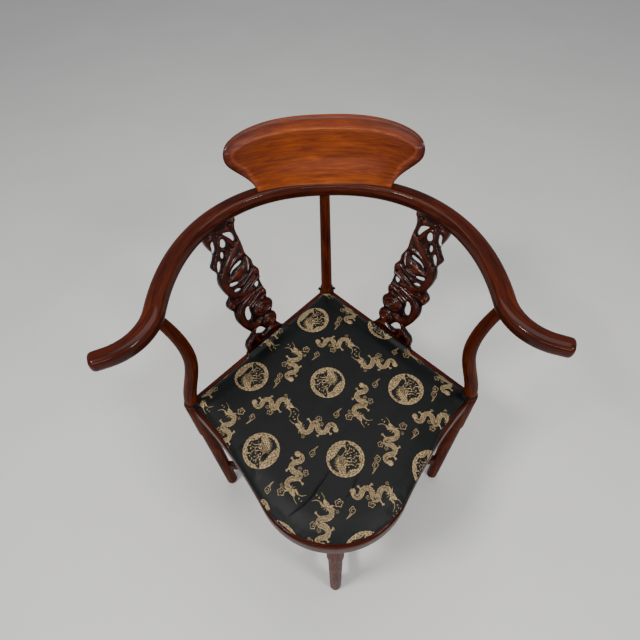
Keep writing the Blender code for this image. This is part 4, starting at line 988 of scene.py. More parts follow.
SPLAT_HOLES = [
    [(-26, 268), (-21, 281), (-15, 284), (-14, 276), (-17, 265), (-21, 259), (-25, 261)],
    [(-4, 268), (-1, 276), (5, 277), (9, 270), (9, 262), (4, 257), (-2, 261)],
    [(10, 286), (18, 284), (27, 279), (31, 270), (31, 258), (27, 257), (23, 265), (17, 275)],
    [(-13, 247), (-9, 254), (-5, 253), (-4, 246), (-6, 239), (-10, 240)],
    [(-33, 222), (-28, 233), (-22, 241), (-17, 238), (-19, 229), (-24, 219), (-29, 217)],
    [(-11, 198), (-5, 206), (6, 212), (18, 214), (25, 213), (24, 206), (13, 204), (2, 202), (-5, 197)],
    [(36, 214), (40, 211), (41, 200), (39, 190), (33, 180), (27, 179), (32, 187), (36, 198)],
    [(-20, 183), (-12, 181), (-2, 177), (3, 172), (-4, 170), (-13, 172), (-20, 177)],
    [(-16, 164), (-9, 164), (-1, 158), (1, 153), (-6, 153), (-13, 156)],
    [(32, 145), (39, 149), (44, 145), (42, 137), (36, 135)],
    [(-17, 84), (-16, 95), (-11, 106), (-5, 110), (1, 108), (-1, 96), (-2, 83), (-7, 76), (-14, 78)],
    [(-12, 37), (-8, 44), (0, 47), (8, 42), (13, 34), (17, 26), (10, 23), (2, 27), (-5, 32)]]
# Ridges of the carving: crown and base height, then across, up and half width at each knot
SPLAT_RIDGES = [
    (8.4, 4.5, [(34, 256, 4), (22, 246, 6), (8, 236, 7), (-6, 226, 7), (-20, 216, 8), (-28, 204, 10),
                (-30, 190, 11), (-28, 174, 11), (-22, 160, 10), (-12, 150, 8), (4, 143, 6), (24, 141, 4)]),
    (8.2, 4.5, [(24, 132, 4), (6, 128, 5), (-10, 122, 7), (-22, 112, 9), (-27, 98, 10.5), (-26, 84, 10.5),
                (-20, 70, 10), (-9, 59, 9), (5, 56, 7), (16, 62, 5)]),
    (7.2, 3.5, [(-30, 300, 6), (-29, 286, 5), (-25, 270, 4.5), (-21, 258, 5), (-28, 247, 6), (-35, 238, 6),
                (-33, 227, 5.5), (-27, 216, 5)]),
    (6.4, 3.5, [(-10, 292, 5), (-10, 278, 4.5), (-11, 264, 4.5), (-16, 253, 4.5), (-17, 242, 4.5),
                (-13, 231, 4)]),
    (7.8, 3.5, [(-13, 258, 4), (-9, 270, 4.5), (-3, 281, 4.5), (6, 282, 5), (13, 274, 5), (17, 263, 5.5),
                (21, 252, 5), (24, 244, 4)]),
    (7.0, 3.5, [(-2, 258, 4), (3, 252, 4.5), (2, 243, 4.5), (-4, 236, 4)]),
    (7.0, 3.5, [(43, 302, 6), (36, 288, 5.5), (34, 274, 4.5), (36, 258, 4.5), (35, 244, 5), (36, 232, 5)]),
    (6.2, 3.2, [(36, 232, 5), (29, 224, 6), (14, 222, 5), (0, 217, 4), (-12, 208, 4)]),
    (6.8, 3.5, [(35, 226, 4.5), (42, 214, 4), (44, 202, 3.5), (43, 190, 4), (48, 178, 6), (47, 166, 7)]),
    (8.8, 4.0, [(-19, 190, 2.5), (-8, 191, 7), (6, 192, 10.5), (20, 194, 9.5), (31, 203, 5), (35, 214, 2)]),
    (6.8, 3.0, [(-22, 168, 3.5), (-8, 167, 3), (6, 164, 3), (20, 169, 3.5), (34, 176, 4), (48, 180, 4)]),
    (7.6, 3.0, [(0, 176, 2.5), (12, 176, 3), (24, 178, 3)]),
    (7.6, 3.0, [(-16, 150, 3), (0, 150, 3), (14, 154, 4), (30, 159, 4.5), (46, 168, 5)]),
    (7.0, 3.0, [(-20, 142, 3.5), (0, 137, 3), (18, 146, 3.5), (32, 152, 3.5), (47, 156, 4)]),
    (8.0, 4.0, [(-36, 140, 9.5), (-33, 139, 9), (-24, 136, 6), (-10, 133, 4.5), (6, 135, 3.5),
                (20, 138, 3)]),
    (7.2, 3.5, [(-14, 120, 4), (2, 117, 4.5), (16, 124, 4.5), (30, 128, 4), (46, 128, 4)]),
    (7.4, 3.5, [(2, 110, 4), (14, 113, 4), (26, 118, 4), (38, 121, 4), (47, 119, 4.5)]),
    (7.2, 3.5, [(6, 103, 4), (20, 107, 4.5), (34, 105, 4), (46, 111, 5)]),
    (7.4, 4.0, [(-33, 292, 5), (-20, 291, 6), (-6, 294, 7), (8, 292, 6), (22, 291, 6), (44, 298, 6)]),
    (5.6, 4.0, [(-46, 5, 6), (-20, 5, 6.5), (20, 5, 6.5), (58, 5, 6)]),
    (8.6, 4.5, [(-40, 14, 5), (-38, 24, 7), (-32, 30, 7.5), (-24, 33, 5.5), (-17, 40, 4.5), (-11, 50, 5)]),
    (7.0, 3.5, [(-12, 34, 4), (-14, 24, 5), (-10, 12, 5)]),
    (7.2, 3.5, [(4, 20, 5), (18, 20, 6), (34, 22, 6), (50, 14, 6)])]
# Domes of the carving: centre across and up, half width, half height, crown, spiral turns
SPLAT_DOMES = [
    (29, 84, 26, 17.5, 9.2, 2.6), (33, 45, 20, 16.5, 9.2, 2.4), (-36, 140, 9, 10.5, 8.8, 1.6),
    (-8, 293, 7, 6.5, 8.6, 1.5), (31, 294, 7.5, 6.5, 8.6, 1.5), (46, 171, 8, 9, 8.2, 0.0),
    (45, 117, 7, 8, 8.0, 0.0)]
# Incised lines: depth, half width, then across and up at each knot
SPLAT_LINES = [
    (1.5, 0.9, [(24, 252), (6, 241), (-10, 229), (-22, 218), (-24, 205), (-23, 190), (-20, 172),
                (-14, 160)]),
    (1.2, 0.8, [(-33, 212), (-36, 196), (-35, 180), (-29, 164)]),
    (1.5, 0.9, [(-6, 116), (-18, 108), (-20, 96), (-20, 84), (-14, 72), (-4, 66), (8, 66)]),
    (1.2, 0.8, [(-32, 110), (-34, 96), (-31, 80), (-25, 66), (-16, 54)]),
    (1.0, 0.8, [(-36, 20), (-32, 25), (-24, 28)]), (1.0, 0.8, [(-41, 22), (-38, 31), (-30, 35)]),
    (1.1, 0.8, [(-10, 188), (4, 185), (18, 187), (28, 194)])]
SPIRAL_DEPTH = 2.3
SCALE_DEPTH = 0.45
SCALE_PITCH = 5.5
SCALES_LEFT_OF = -14
SCALES_ABOVE = 6.5
DOME_BASE = 4.2
SPLAT_THINNEST = 2.0
SPLAT_LIP_SHARE = 0.58


def splat_relief():
    relief = Relief((-49, -1), (61, 320), SPLAT_PITCH, 8.0)
    relief.add_loop(smooth_curve(SPLAT_OUTLINE, 6, True))
    for hole in SPLAT_HOLES:
        relief.add_loop(smooth_curve(hole, 6, True))
    relief.height[:] = SPLAT_GROUND
    for crown, base, knots in SPLAT_RIDGES:
        relief.add_stroke(knots, crown, base)
    scales = np.sin(2 * pi * (relief.v + 0.6 * relief.u) / SCALE_PITCH)
    scales = scales * np.sin(2 * pi * (relief.v - 0.6 * relief.u) / SCALE_PITCH)
    body = (relief.u < SCALES_LEFT_OF) & (relief.height > SCALES_ABOVE)
    relief.height = np.where(body, relief.height + SCALE_DEPTH * scales, relief.height)
    for across, up, wide, tall, crown, turns in SPLAT_DOMES:
        du = (relief.u - across) / wide
        dv = (relief.v - up) / tall
        radius = np.hypot(du, dv)
        dome = DOME_BASE + (crown - DOME_BASE) * np.sqrt(np.clip(1 - radius**2, 0, 1))
        if turns:
            wave = np.cos(2 * pi * turns * radius - np.arctan2(dv, du))
            dome = dome - SPIRAL_DEPTH * np.clip(wave, -0.3, 1) * np.clip(1.5 - radius, 0, 1)
        relief.height = np.where(radius < 1, dome, relief.height)
    for depth, half, knots in SPLAT_LINES:
        relief.add_groove(knots, depth, half)
    inner = np.clip(relief.edge / SPLAT_ROUND, 0, 1)
    lip = SPLAT_LIP_SHARE + (1 - SPLAT_LIP_SHARE) * np.sqrt(1 - (1 - inner) ** 2)
    relief.height = np.maximum(relief.height, SPLAT_THINNEST) * lip
    return relief


def make_splats():
    relief = splat_relief()
    foot, across, up, outward = (
        np.array(axis) for axis in (SPLAT_FOOT, SPLAT_ACROSS, SPLAT_UP, SPLAT_OUTWARD))

    def place(u, v, depth):
        flat = np.outer(u, across) + np.outer(v, up) + np.outer(depth, outward)
        points = foot + flat * MILLIMETRE
        points[:, 2] = np.maximum(points[:, 2], SEAT_HEIGHT + GAP)
        return points

    def grain(u, v, depth):
        return np.stack([v, u, depth], axis=1) * MILLIMETRE

    parts = relief.solid(-relief.height, relief.height, place, grain)
    for side, name in SIDE_NAMES.items():
        mesh = finished_mesh("carved_splat_" + name, *parts, side)
        add_piece("carved_splat_" + name, mesh, CARVED_WOOD, ["splat_" + name], 70)


# Seat pad: outline, swelling by cloth simulation, creases

PAD_START_INSET = 0.0010
PAD_START_LOW = 0.0012
PAD_START_HIGH = 0.0150
PAD_VOXEL = 0.005
PAD_SIDE_CAP = 0.0008
PAD_TOP_CAP = 0.0060
PAD_SPLAT_INSET = 0.0125
PAD_SPLAT_GAP = 0.0046
PAD_SPLAT_SHARE = 1.0
PAD_SPLAT_REACH = 0.016
PAD_SPLAT_LIFT = 0.0065
# Band beside the splats' feet where the gold is left out: painted shade of the splats on the pad
PAD_SHADED_BORDER = 0.0090
PAD_POST_ROOM = 0.0155
PAD_REAR_INSET = 0.0125
PAD_FRONT_INSET = 0.0050
PAD_CORNER_INSET = 0.0066
PAD_OVERHANG = 0.0014
PAD_EDGE_SHARE = 0.55
PAD_CROWN_REACH = 0.045
PAD_FRAMES = 20
PAD_CLOTH = {"quality": 5, "mass": 0.3, "tension_stiffness": 12, "compression_stiffness": 12,
             "bending_stiffness": 0.8, "use_pressure": True, "uniform_pressure_force": 4}
PAD_EDGE_POINTS = 161
# Where the front edge's insets change, as shares of its length: start and run of the change
PAD_BOW_FADE = (0.20, 0.28)
PAD_CORNER_FADE = (0.60, 0.17)
# Ends of the splat's foot as the pad meets it, and the run over which its hold fades, in millimetres
SPLAT_HOLD = (-58, 70)
SPLAT_HOLD_FADE = 10
SPLAT_RUN = np.array(SPLAT_ACROSS[:2])
REAR_EDGE_MIDDLE = np.array([SIDE_REACH, REAR_REACH]) / 2
REAR_EDGE_OUTWARD = np.array([REAR_REACH, SIDE_REACH]) / hypot(SIDE_REACH, REAR_REACH)
# Creases and soft folds of the pad: depth, half width, then places in plan
PAD_CREASES = [
    (0.0020, 0.0008, [(-0.0053, -0.1563), (-0.0147, -0.1724), (-0.0292, -0.1915), (-0.0398, -0.2068),
                      (-0.0572, -0.2233), (-0.0843, -0.2408)]),
    (0.0013, 0.0007, [(0.0477, -0.1669), (0.0356, -0.1915), (0.0261, -0.2051), (0.0189, -0.2118)])]
PAD_FOLDS = [
    (0.0026, 0.0075, [(-0.178, -0.105), (-0.158, -0.128), (-0.146, -0.150), (-0.140, -0.172)]),
    (0.0022, 0.0065, [(-0.150, -0.108), (-0.136, -0.128), (-0.122, -0.150)]),
    (0.0018, 0.0075, [(0.165, -0.135), (0.140, -0.160), (0.118, -0.190), (0.092, -0.222)])]
CREASE_FINE_REACH = 0.007
CREASE_FINER_SHARE = 0.55
CREASE_FINE_FROM = 0.008
CREASE_FROM = 0.006


def near_splat(from_middle):
    """One beside a splat's foot and nothing past its ends, for places from the rear edge's middle."""
    place = from_middle @ SPLAT_RUN / MILLIMETRE
    low, high = SPLAT_HOLD
    return smooth_step((place - low) / SPLAT_HOLD_FADE) * smooth_step((high - place) / SPLAT_HOLD_FADE)


def pad_outline():
    """Closed outline of the pad's start shape in plan, with room for splats and posts."""
    rear, to_side = rear_edge(PAD_REAR_INSET + PAD_START_INSET)
    share = np.linspace(0, 1, PAD_EDGE_POINTS)[:, None]
    line = rear + (to_side - rear) * share
    near = near_splat(line - REAR_EDGE_MIDDLE)
    draw = PAD_DRAW_IN * np.sin(pi * share[:, 0])
    to_splat = PAD_SPLAT_INSET - PAD_REAR_INSET
    line = line - REAR_EDGE_OUTWARD * (draw + near * (to_splat - draw))[:, None]
    front = resample(between(front_edge(PAD_START_INSET), 0, to_side[1]), PAD_EDGE_POINTS)
    bow = PAD_FRONT_INSET * (1 - smooth_step((share - PAD_BOW_FADE[0]) / PAD_BOW_FADE[1]))
    corner = PAD_CORNER_INSET * smooth_step((share - PAD_CORNER_FADE[0]) / PAD_CORNER_FADE[1])
    front = front + left_of(headings_of(front)) * (bow + corner - PAD_OVERHANG)
    right = np.vstack([line, front[::-1][1:]])
    left = right[::-1][1:-1] * (-1, 1)
    outline = np.vstack([right, left])
    for centre in ((0, REAR_REACH), (SIDE_REACH, 0), (-SIDE_REACH, 0)):
        outline = with_notch(outline, np.array(centre), PAD_POST_ROOM + PAD_START_INSET)
    return outline


def with_notch(outline, centre, radius):
    """Outline with a round notch on the inner side of a post."""
    far = np.linalg.norm(outline - centre, axis=1) >= radius
    start = np.nonzero(far & ~np.roll(far, -1))[0][0]
    outline = np.roll(outline, -start, axis=0)
    far = np.roll(far, -start)
    after = np.nonzero(far[1:])[0][0] + 1
    inner = np.arctan2(-centre[1], -centre[0])
    turns = []
    for point in (outline[0], outline[after]):
        turn = np.arctan2(point[1] - centre[1], point[0] - centre[0]) - inner
        turns.append((turn + pi) % (2 * pi) - pi)
    arc = inner + np.linspace(turns[0], turns[1], 24)[1:-1]
    notch = centre + radius * np.stack([np.cos(arc), np.sin(arc)], axis=1)
    return np.vstack([outline[:1], notch, outline[after:]])


def pad_start_mesh():
    outline = pad_outline()
    shape = bmesh.new()
    loops = []
    for height in (PAD_START_LOW, PAD_START_HIGH):
        loops.append([shape.verts.new((x, y + SHIFT[1], SEAT_HEIGHT + height)) for x, y in outline])
    count = len(outline)
    for i in range(count):
        j = (i + 1) % count
        shape.faces.new((loops[0][i], loops[0][j], loops[1][j], loops[1][i]))
    caps = [shape.faces.new(loops[0][::-1]), shape.faces.new(loops[1])]
    bmesh.ops.triangulate(shape, faces=caps)
    bmesh.ops.recalc_face_normals(shape, faces=shape.faces)
    mesh = bpy.data.meshes.new("pad_start")
    shape.to_mesh(mesh)
    shape.free()
    return mesh


def mesh_points(mesh):
    points = np.empty(len(mesh.vertices) * 3)
    mesh.vertices.foreach_get("co", points)
    return points.reshape(-1, 3)


def move_points(mesh, points):
    mesh.vertices.foreach_set("co", points.ravel())
    mesh.update()


def evaluated_mesh(piece):
    graph = bpy.context.evaluated_depsgraph_get()
    return bpy.data.meshes.new_from_object(piece.evaluated_get(graph))


def swollen_pad_mesh():
    """Remesh the start shape, fill it with pressure, and cap how far each point may move."""
    start = bpy.data.objects.new("pad_start", pad_start_mesh())
    bpy.context.collection.objects.link(start)
    remesh = start.modifiers.new("remesh", "REMESH")
    remesh.mode = "VOXEL"
    remesh.voxel_size = PAD_VOXEL
    smooth = start.modifiers.new("smooth", "SMOOTH")
    smooth.iterations = 4
    smooth.factor = 0.5
    mesh = evaluated_mesh(start)
    before = mesh_points(mesh)
    start.modifiers.clear()
    start.data = mesh
    cloth = start.modifiers.new("cloth", "CLOTH")
    for key, value in PAD_CLOTH.items():
        setattr(cloth.settings, key, value)
    cloth.settings.effector_weights.gravity = 0
    cloth.point_cache.frame_end = PAD_FRAMES
    for number in range(1, PAD_FRAMES + 1):
        bpy.context.scene.frame_set(number)
    after = mesh_points(evaluated_mesh(start))
    bpy.context.scene.frame_set(1)
    move = after - before
    flat = np.linalg.norm(move[:, :2], axis=1)
    move[:, :2] *= np.minimum(1, PAD_SIDE_CAP / np.maximum(flat, 1e-9))[:, None]
    move[:, 2] = np.clip(move[:, 2], -PAD_TOP_CAP, PAD_TOP_CAP)
    points = before + move
    points[:, 2] = np.maximum(points[:, 2], SEAT_HEIGHT + GAP)
    bpy.data.objects.remove(start)
    move_points(mesh, points)
    return mesh


def refine_near(mesh, lines, reach):
    """Split the pad's top faces twice where they lie near a crease."""
    shape = bmesh.new()
    shape.from_mesh(mesh)
    for margin in (reach, reach * CREASE_FINER_SHARE):
        shape.verts.ensure_lookup_table()
        points = np.array([vertex.co for vertex in shape.verts])
        gaps = np.full(len(points), 1.0)
        for line in lines:
            gaps = np.minimum(gaps, gap_to_line(points[:, :2] - SHIFT[:2], line))
        near = (gaps < margin) & (points[:, 2] > SEAT_HEIGHT + CREASE_FINE_FROM)
        edges = [edge for edge in shape.edges if all(near[vertex.index] for vertex in edge.verts)]
        bmesh.ops.subdivide_edges(shape, edges=edges, cuts=1, use_grid_fill=True)
        shape.verts.index_update()
    shape.to_mesh(mesh)
    shape.free()


def line_taper(points, line):
    """Gap from each point to a line, and a strength that fades to nothing at the line's ends."""
    lengths = run_lengths(line)
    best = np.full(len(points), np.inf)
    along = np.zeros(len(points))
    for k, (start, end) in enumerate(zip(line, line[1:])):
        share, gap = nearest_on(points, start, end)[:2]
        closer = gap < best
        best = np.where(closer, gap, best)
        along = np.where(closer, lengths[k] + share * (lengths[k + 1] - lengths[k]), along)
    return best, np.sin(pi * along / lengths[-1]) ** 0.6


def crease_pad(mesh):
    """Press the two long creases of the photograph's seat into the pad, and raise its soft folds."""
    creases = [(depth, half, smooth_curve(knots, 10)) for depth, half, knots in PAD_CREASES]
    refine_near(mesh, [line for depth, half, line in creases], CREASE_FINE_REACH)
    points = mesh_points(mesh)
    plan = points[:, :2] - SHIFT[:2]
    top = smooth_step((points[:, 2] - SEAT_HEIGHT - CREASE_FROM) / CREASE_FROM)
    for depth, half, line in creases:
        gaps, taper = line_taper(plan, line)
        valley = np.exp(-((gaps / half) ** 2))
        shoulder = np.exp(-(((gaps - 2.6 * half) / (1.5 * half)) ** 2))
        points[:, 2] += top * taper * depth * (0.30 * shoulder - valley)
    for depth, half, knots in PAD_FOLDS:
        gaps, taper = line_taper(plan, smooth_curve(knots, 10))
        points[:, 2] += top * taper * depth * np.exp(-((gaps / half) ** 2))
    move_points(mesh, points)


def splat_side(plan, side):
    """How near points in plan are to a splat's foot, how far past its plane, and the way out from it."""
    from_middle = plan * (side, 1) - REAR_EDGE_MIDDLE
    return near_splat(from_middle), from_middle @ REAR_EDGE_OUTWARD, REAR_EDGE_OUTWARD * (side, 1)


def crown_pad(mesh):
    """Thin the pad towards its edges, but keep it full where it is pressed against the splats."""
    points = mesh_points(mesh)
    plan = points[:, :2] - SHIFT[:2]
    outline = pad_outline()
    gaps = gap_to_line(plan, np.vstack([outline, outline[:1]]))
    share = PAD_EDGE_SHARE + (1 - PAD_EDGE_SHARE) * smooth_step(gaps / PAD_CROWN_REACH)
    lift = np.zeros(len(points))
    for side in SIDE_NAMES:
        near, beyond, outward = splat_side(plan, side)
        close = near * smooth_step(1 + (beyond + PAD_SPLAT_GAP) / PAD_SPLAT_REACH)
        share = share + (np.maximum(PAD_SPLAT_SHARE, share) - share) * close
        lift += PAD_SPLAT_LIFT * close * smooth_step((points[:, 2] - SEAT_HEIGHT) / PAD_START_HIGH)
        over = np.where(near > 0.5, np.clip(beyond + PAD_SPLAT_GAP, 0, None), 0)
        plan = plan - np.outer(over, outward)
    points[:, :2] = plan + SHIFT[:2]
    points[:, 2] = SEAT_HEIGHT + (points[:, 2] - SEAT_HEIGHT) * share + lift
    move_points(mesh, points)


def make_pad():
    mesh = swollen_pad_mesh()
    crown_pad(mesh)
    pad = add_piece("cushion", mesh, SATIN, ["seat_cushion"], 180)
    round_off = pad.modifiers.new("rounding", "SUBSURF")
    round_off.levels = 1
    round_off.render_levels = 1
    fine = evaluated_mesh(pad)
    pad.modifiers.clear()
    pad.data = fine
    crease_pad(fine)
    fine.shade_smooth()
    return pad


# Woven figures on the pad: flat drawings in millimetres, gold over black, laid on the pad's top

LATTICE_ORIGIN = np.array([-0.005, 0.028])
LATTICE_A = np.array([0.161, -0.021])
LATTICE_B = np.array([0.029, -0.166])
FIGURE_LIFT = 0.00025
FIGURE_THICKNESS = 0.0005
FIGURE_FILL = 4.5
THINNEST_STROKE = 0.15


class Figure:
    """Painter's drawing: later shapes cover earlier ones, and each is gold or bare cloth."""

    def __init__(self):
        self.shapes = []

    def add(self, points, gold=True):
        """Add a filled outline, turned so that it runs anticlockwise."""
        points = np.array(points, float)
        after = np.roll(points, -1, axis=0)
        if (points[:, 0] * after[:, 1] - points[:, 1] * after[:, 0]).sum() < 0:
            points = points[::-1]
        self.shapes.append((points, gold))

    def scale(self, factors):
        self.shapes = [(points * factors, gold) for points, gold in self.shapes]

    def stroke(self, knots, gold=True, per=5):
        """Band along a curve of x, y and width."""
        line = smooth_curve(knots, per)
        side = left_of(headings_of(line[:, :2])) * np.maximum(line[:, 2:3], THINNEST_STROKE) / 2
        left, right = line[:, :2] + side, line[:, :2] - side
        for k in range(len(line) - 1):
            corners = np.array([left[k], right[k], right[k + 1], left[k + 1]])
            spread = corners - corners.mean(axis=0)
            self.add(corners[np.argsort(np.arctan2(spread[:, 1], spread[:, 0]))], gold)

    def blob(self, centre, wide, tall, gold=True, lobes=0, depth=0.0, turn=0.0, sides=24):
        angle = 2 * pi * np.arange(sides) / sides
        size = 1 + depth * np.cos(lobes * angle)
        x, y = wide * size * np.cos(angle), tall * size * np.sin(angle)
        self.add(np.stack([centre[0] + x * cos(turn) - y * sin(turn),
                           centre[1] + x * sin(turn) + y * cos(turn)], axis=1), gold)

    def triangles(self):
        """Points and triangles of the gold parts that stay in view."""
        points = []
        faces = []
        for shape, gold in self.shapes:
            faces.append(list(range(len(points), len(points) + len(shape))))
            points += [Vector(point) for point in shape]
        corners = np.vstack([shape for shape, gold in self.shapes])
        low, high = corners.min(axis=0), corners.max(axis=0)
        for x in np.arange(low[0], high[0], FIGURE_FILL):
            for y in np.arange(low[1], high[1], FIGURE_FILL):
                points.append(Vector((x, y)))
        found = delaunay_2d_cdt(points, [], faces, 1, 1e-4, True)
        places, triangles, origins = found[0], found[2], found[5]
        kept = []
        for triangle, origin in zip(triangles, origins):
            if origin and self.shapes[max(origin)][1]:
                kept.append(triangle)
        return np.array([tuple(place) for place in places]), kept


CLAW_LENGTH = 4.2
CLAW_TURNS = (-1.15, -0.4, 0.35, 1.1)


def add_claw(figure, x, y, heading):
    """Small star of four talons at the end of a leg."""
    for turn in CLAW_TURNS:
        angle = heading + turn
        bend, tip = 0.6 * CLAW_LENGTH, angle + 0.25
        figure.stroke([(x, y, 1.9), (x + bend * cos(angle), y + bend * sin(angle), 1.4),
                       (x + CLAW_LENGTH * cos(tip), y + CLAW_LENGTH * sin(tip), 0.3)], per=2)


def add_rosette(figure, x, y, size, turn=0.0):
    """Five-lobed cloud in outline with a curl inside."""
    figure.blob((x, y), size, size, True, 5, 0.15, turn, 40)
    figure.blob((x, y), size * 0.80, size * 0.80, False, 5, 0.15, turn, 40)
    curl = []
    for share in np.linspace(0, 1, 7):
        angle = turn + 4.6 * share
        reach = size * (0.50 - 0.34 * share)
        curl.append((x + reach * cos(angle), y + reach * sin(angle), size * 0.16))
    figure.stroke(curl, per=2)


DRAGON_SCALE = (0.93, 0.80)
DRAGON_BODY = [
    (-41, -1, 8), (-37.5, -7, 9.5), (-31, -10, 10), (-25.5, -3.5, 10.5), (-22.5, 7, 11), (-15.5, 14, 11),
    (-7, 10.5, 11), (-2.8, 1.5, 10.5), (-0.5, -7.5, 9.5), (4, -11.5, 9), (8.5, -6, 10), (10, 2.5, 10.5),
    (12.5, 12, 11), (19, 18, 11), (26.5, 15.5, 10.5), (31.5, 9, 9)]


def add_body(figure, body):
    """Scaled body with a serrated back, a dark line along the belly and rows of dark scale marks."""
    line = smooth_curve(body, 5)
    run = headings_of(line[:, :2])
    outer = left_of(run)
    for k in range(4, len(line) - 3, 2):
        root = line[k, :2] + outer[k] * (line[k, 2] / 2 - 0.7)
        figure.add([root - run[k] * 1.6, root + run[k] * 1.6, root + outer[k] * 2.0 - run[k] * 0.6])
    figure.stroke(body)
    belly = [(*(line[k, :2] - outer[k] * line[k, 2] * 0.26), 0.9) for k in range(3, len(line) - 2, 2)]
    figure.stroke(belly, False, 2)
    for k in range(3, len(line) - 3):
        inner = line[k, :2] - outer[k] * line[k, 2] * 0.06
        tip = line[k, :2] + outer[k] * line[k, 2] * 0.38 - run[k] * 1.1
        figure.stroke([(*inner, 0.7), (*tip, 1.0)], False, 1)


def dragon_figure():
    """Dragon on its side: brush tail on the left, two humps, head on the right with long whiskers."""
    figure = Figure()
    figure.blob((-41.5, 3.5), 6.0, 7.0, True, 7, 0.08, 0.3, 42)
    for start, bend, end in (((-11, 14), (-9, 20), (-6, 23)), ((9, -4), (14, -12), (18, -17)),
                             ((-20, 8), (-28, 12), (-31, 15))):
        figure.stroke([(*start, 4.0), (*bend, 3.2), (*end, 2.4)], per=3)
        add_claw(figure, *end, np.arctan2(end[1] - bend[1], end[0] - bend[0]))
    add_body(figure, DRAGON_BODY)
    for tip in ((23, 5), (25, -2), (30, -8), (27, 26), (35, 23)):
        figure.stroke([(33, 7, 3.4), ((33 + tip[0]) / 2 + 1, (7 + tip[1]) / 2 + 1, 2.6), (*tip, 0.4)], per=3)
    figure.blob((36, 5), 6.4, 5.2, True, turn=-0.6)
    figure.add([(36, 8), (42, 5), (46, 0), (44, -4), (39, -4), (34, -1)])
    figure.add([(33, 0), (38, -6), (42, -10), (38, -11.5), (33, -7), (30, -2)])
    figure.blob((38, 5.6), 1.3, 1.1, False, sides=8)
    figure.stroke([(34.5, -2, 1.0), (39, -5, 1.2), (44, -6, 0.8)], False, 2)
    figure.stroke([(28, 14, 0.8), (30.5, 7, 1.1), (29, 0, 0.8)], False, 3)
    figure.stroke([(33, 12, 0.7), (35.5, 8, 0.9), (33, 3, 0.7)], False, 3)
    figure.stroke([(45, -2, 1.6), (50, -3, 1.4), (59, -11, 0.7)])
    figure.stroke([(40, -11, 1.6), (42.5, -19, 1.3), (40, -30, 0.7)])
    figure.blob((48, -14), 2.2, 1.5, True, 3, 0.25, 0.4, 14)
    figure.blob((52, -20), 1.8, 1.3, True, 3, 0.25, 1.2, 14)
    add_rosette(figure, -10.5, -7, 4.6, 0.8)
    add_rosette(figure, -3.5, -21.5, 6.6)
    add_rosette(figure, 25, 30, 3.4, 0.5)
    figure.scale(DRAGON_SCALE)
    return figure


MEDALLION_RADIUS = 36.2
MEDALLION_MARKS = 24
MEDALLION_FLECKS = 128
MEDALLION_BREAKS = 30
# Dark ground that shows round the medallion's dragon
MEDALLION_GAPS = [
    [(10.5, 28), (17, 26), (23, 21.5), (27.5, 15), (30, 8), (25.5, 4), (21.5, -0.5), (17.5, -7),
     (14, -13.5), (10.5, -20), (6, -23), (1.5, -19), (3, -12.5), (7, -6.5), (11.5, -0.5), (15, 5),
     (15.5, 11), (14, 16.5), (11, 21)],
    [(-4.6, 29.5), (-2.8, 20), (-3, 14), (-5, 9), (-6, 4.5), (-3.5, 2), (-0.5, -2), (3.6, -4), (4.2, -9),
     (-0.4, -14), (-0.4, -20), (1.6, -26), (2.2, -34), (-2.4, -34), (-6, -29), (-12.5, -26), (-19, -22),
     (-23.5, -16), (-26.5, -9.5), (-25.5, -3), (-27.5, 4), (-26.5, 12), (-23.5, 17), (-16.5, 18.8),
     (-11.5, 20.5), (-7.8, 24)]]
# Gold left standing in the dark ground: x, y and width along each stroke
MEDALLION_LEAVES = [
    [(-4, 12.5, 2.6), (-12, 10, 2.2), (-17.5, 12, 0.9)],
    [(-5, 6.5, 2.0), (-13.5, 4.5, 2.0), (-19.5, 6.5, 0.8)],
    [(-3, -0.5, 2.2), (-11.5, -2.5, 2.0), (-18, 0, 0.9)],
    [(1, -7, 2.8), (-5.5, -11.5, 2.3), (-12, -14, 1.1)],
    [(-1, -12.5, 2.2), (-6, -18, 2.0), (-6, -24.5, 0.8)],
    [(-27, -8, 2.4), (-20, -7.5, 2.1), (-16, -10, 0.8)],
    [(-28, 8.5, 2.2), (-23, 7.5, 1.6), (-22, 10.5, 0.8)],
    [(-17, -23, 2.2), (-14.5, -18, 1.8), (-16.5, -15.5, 0.8)]]
# Small gold spots: x, y and size
MEDALLION_SPOTS = [
    (-20.5, 2.2, 1.9), (-17, -4.6, 1.7), (-11.5, 1.2, 1.5), (-9.5, -7, 1.7), (-20, -12.5, 1.4),
    (-2.4, -27.5, 1.3), (-8, 16.5, 1.2), (-20.5, 13.2, 1.2), (-10, -20.5, 1.5)]
GOLDEN_TURN = 2.4


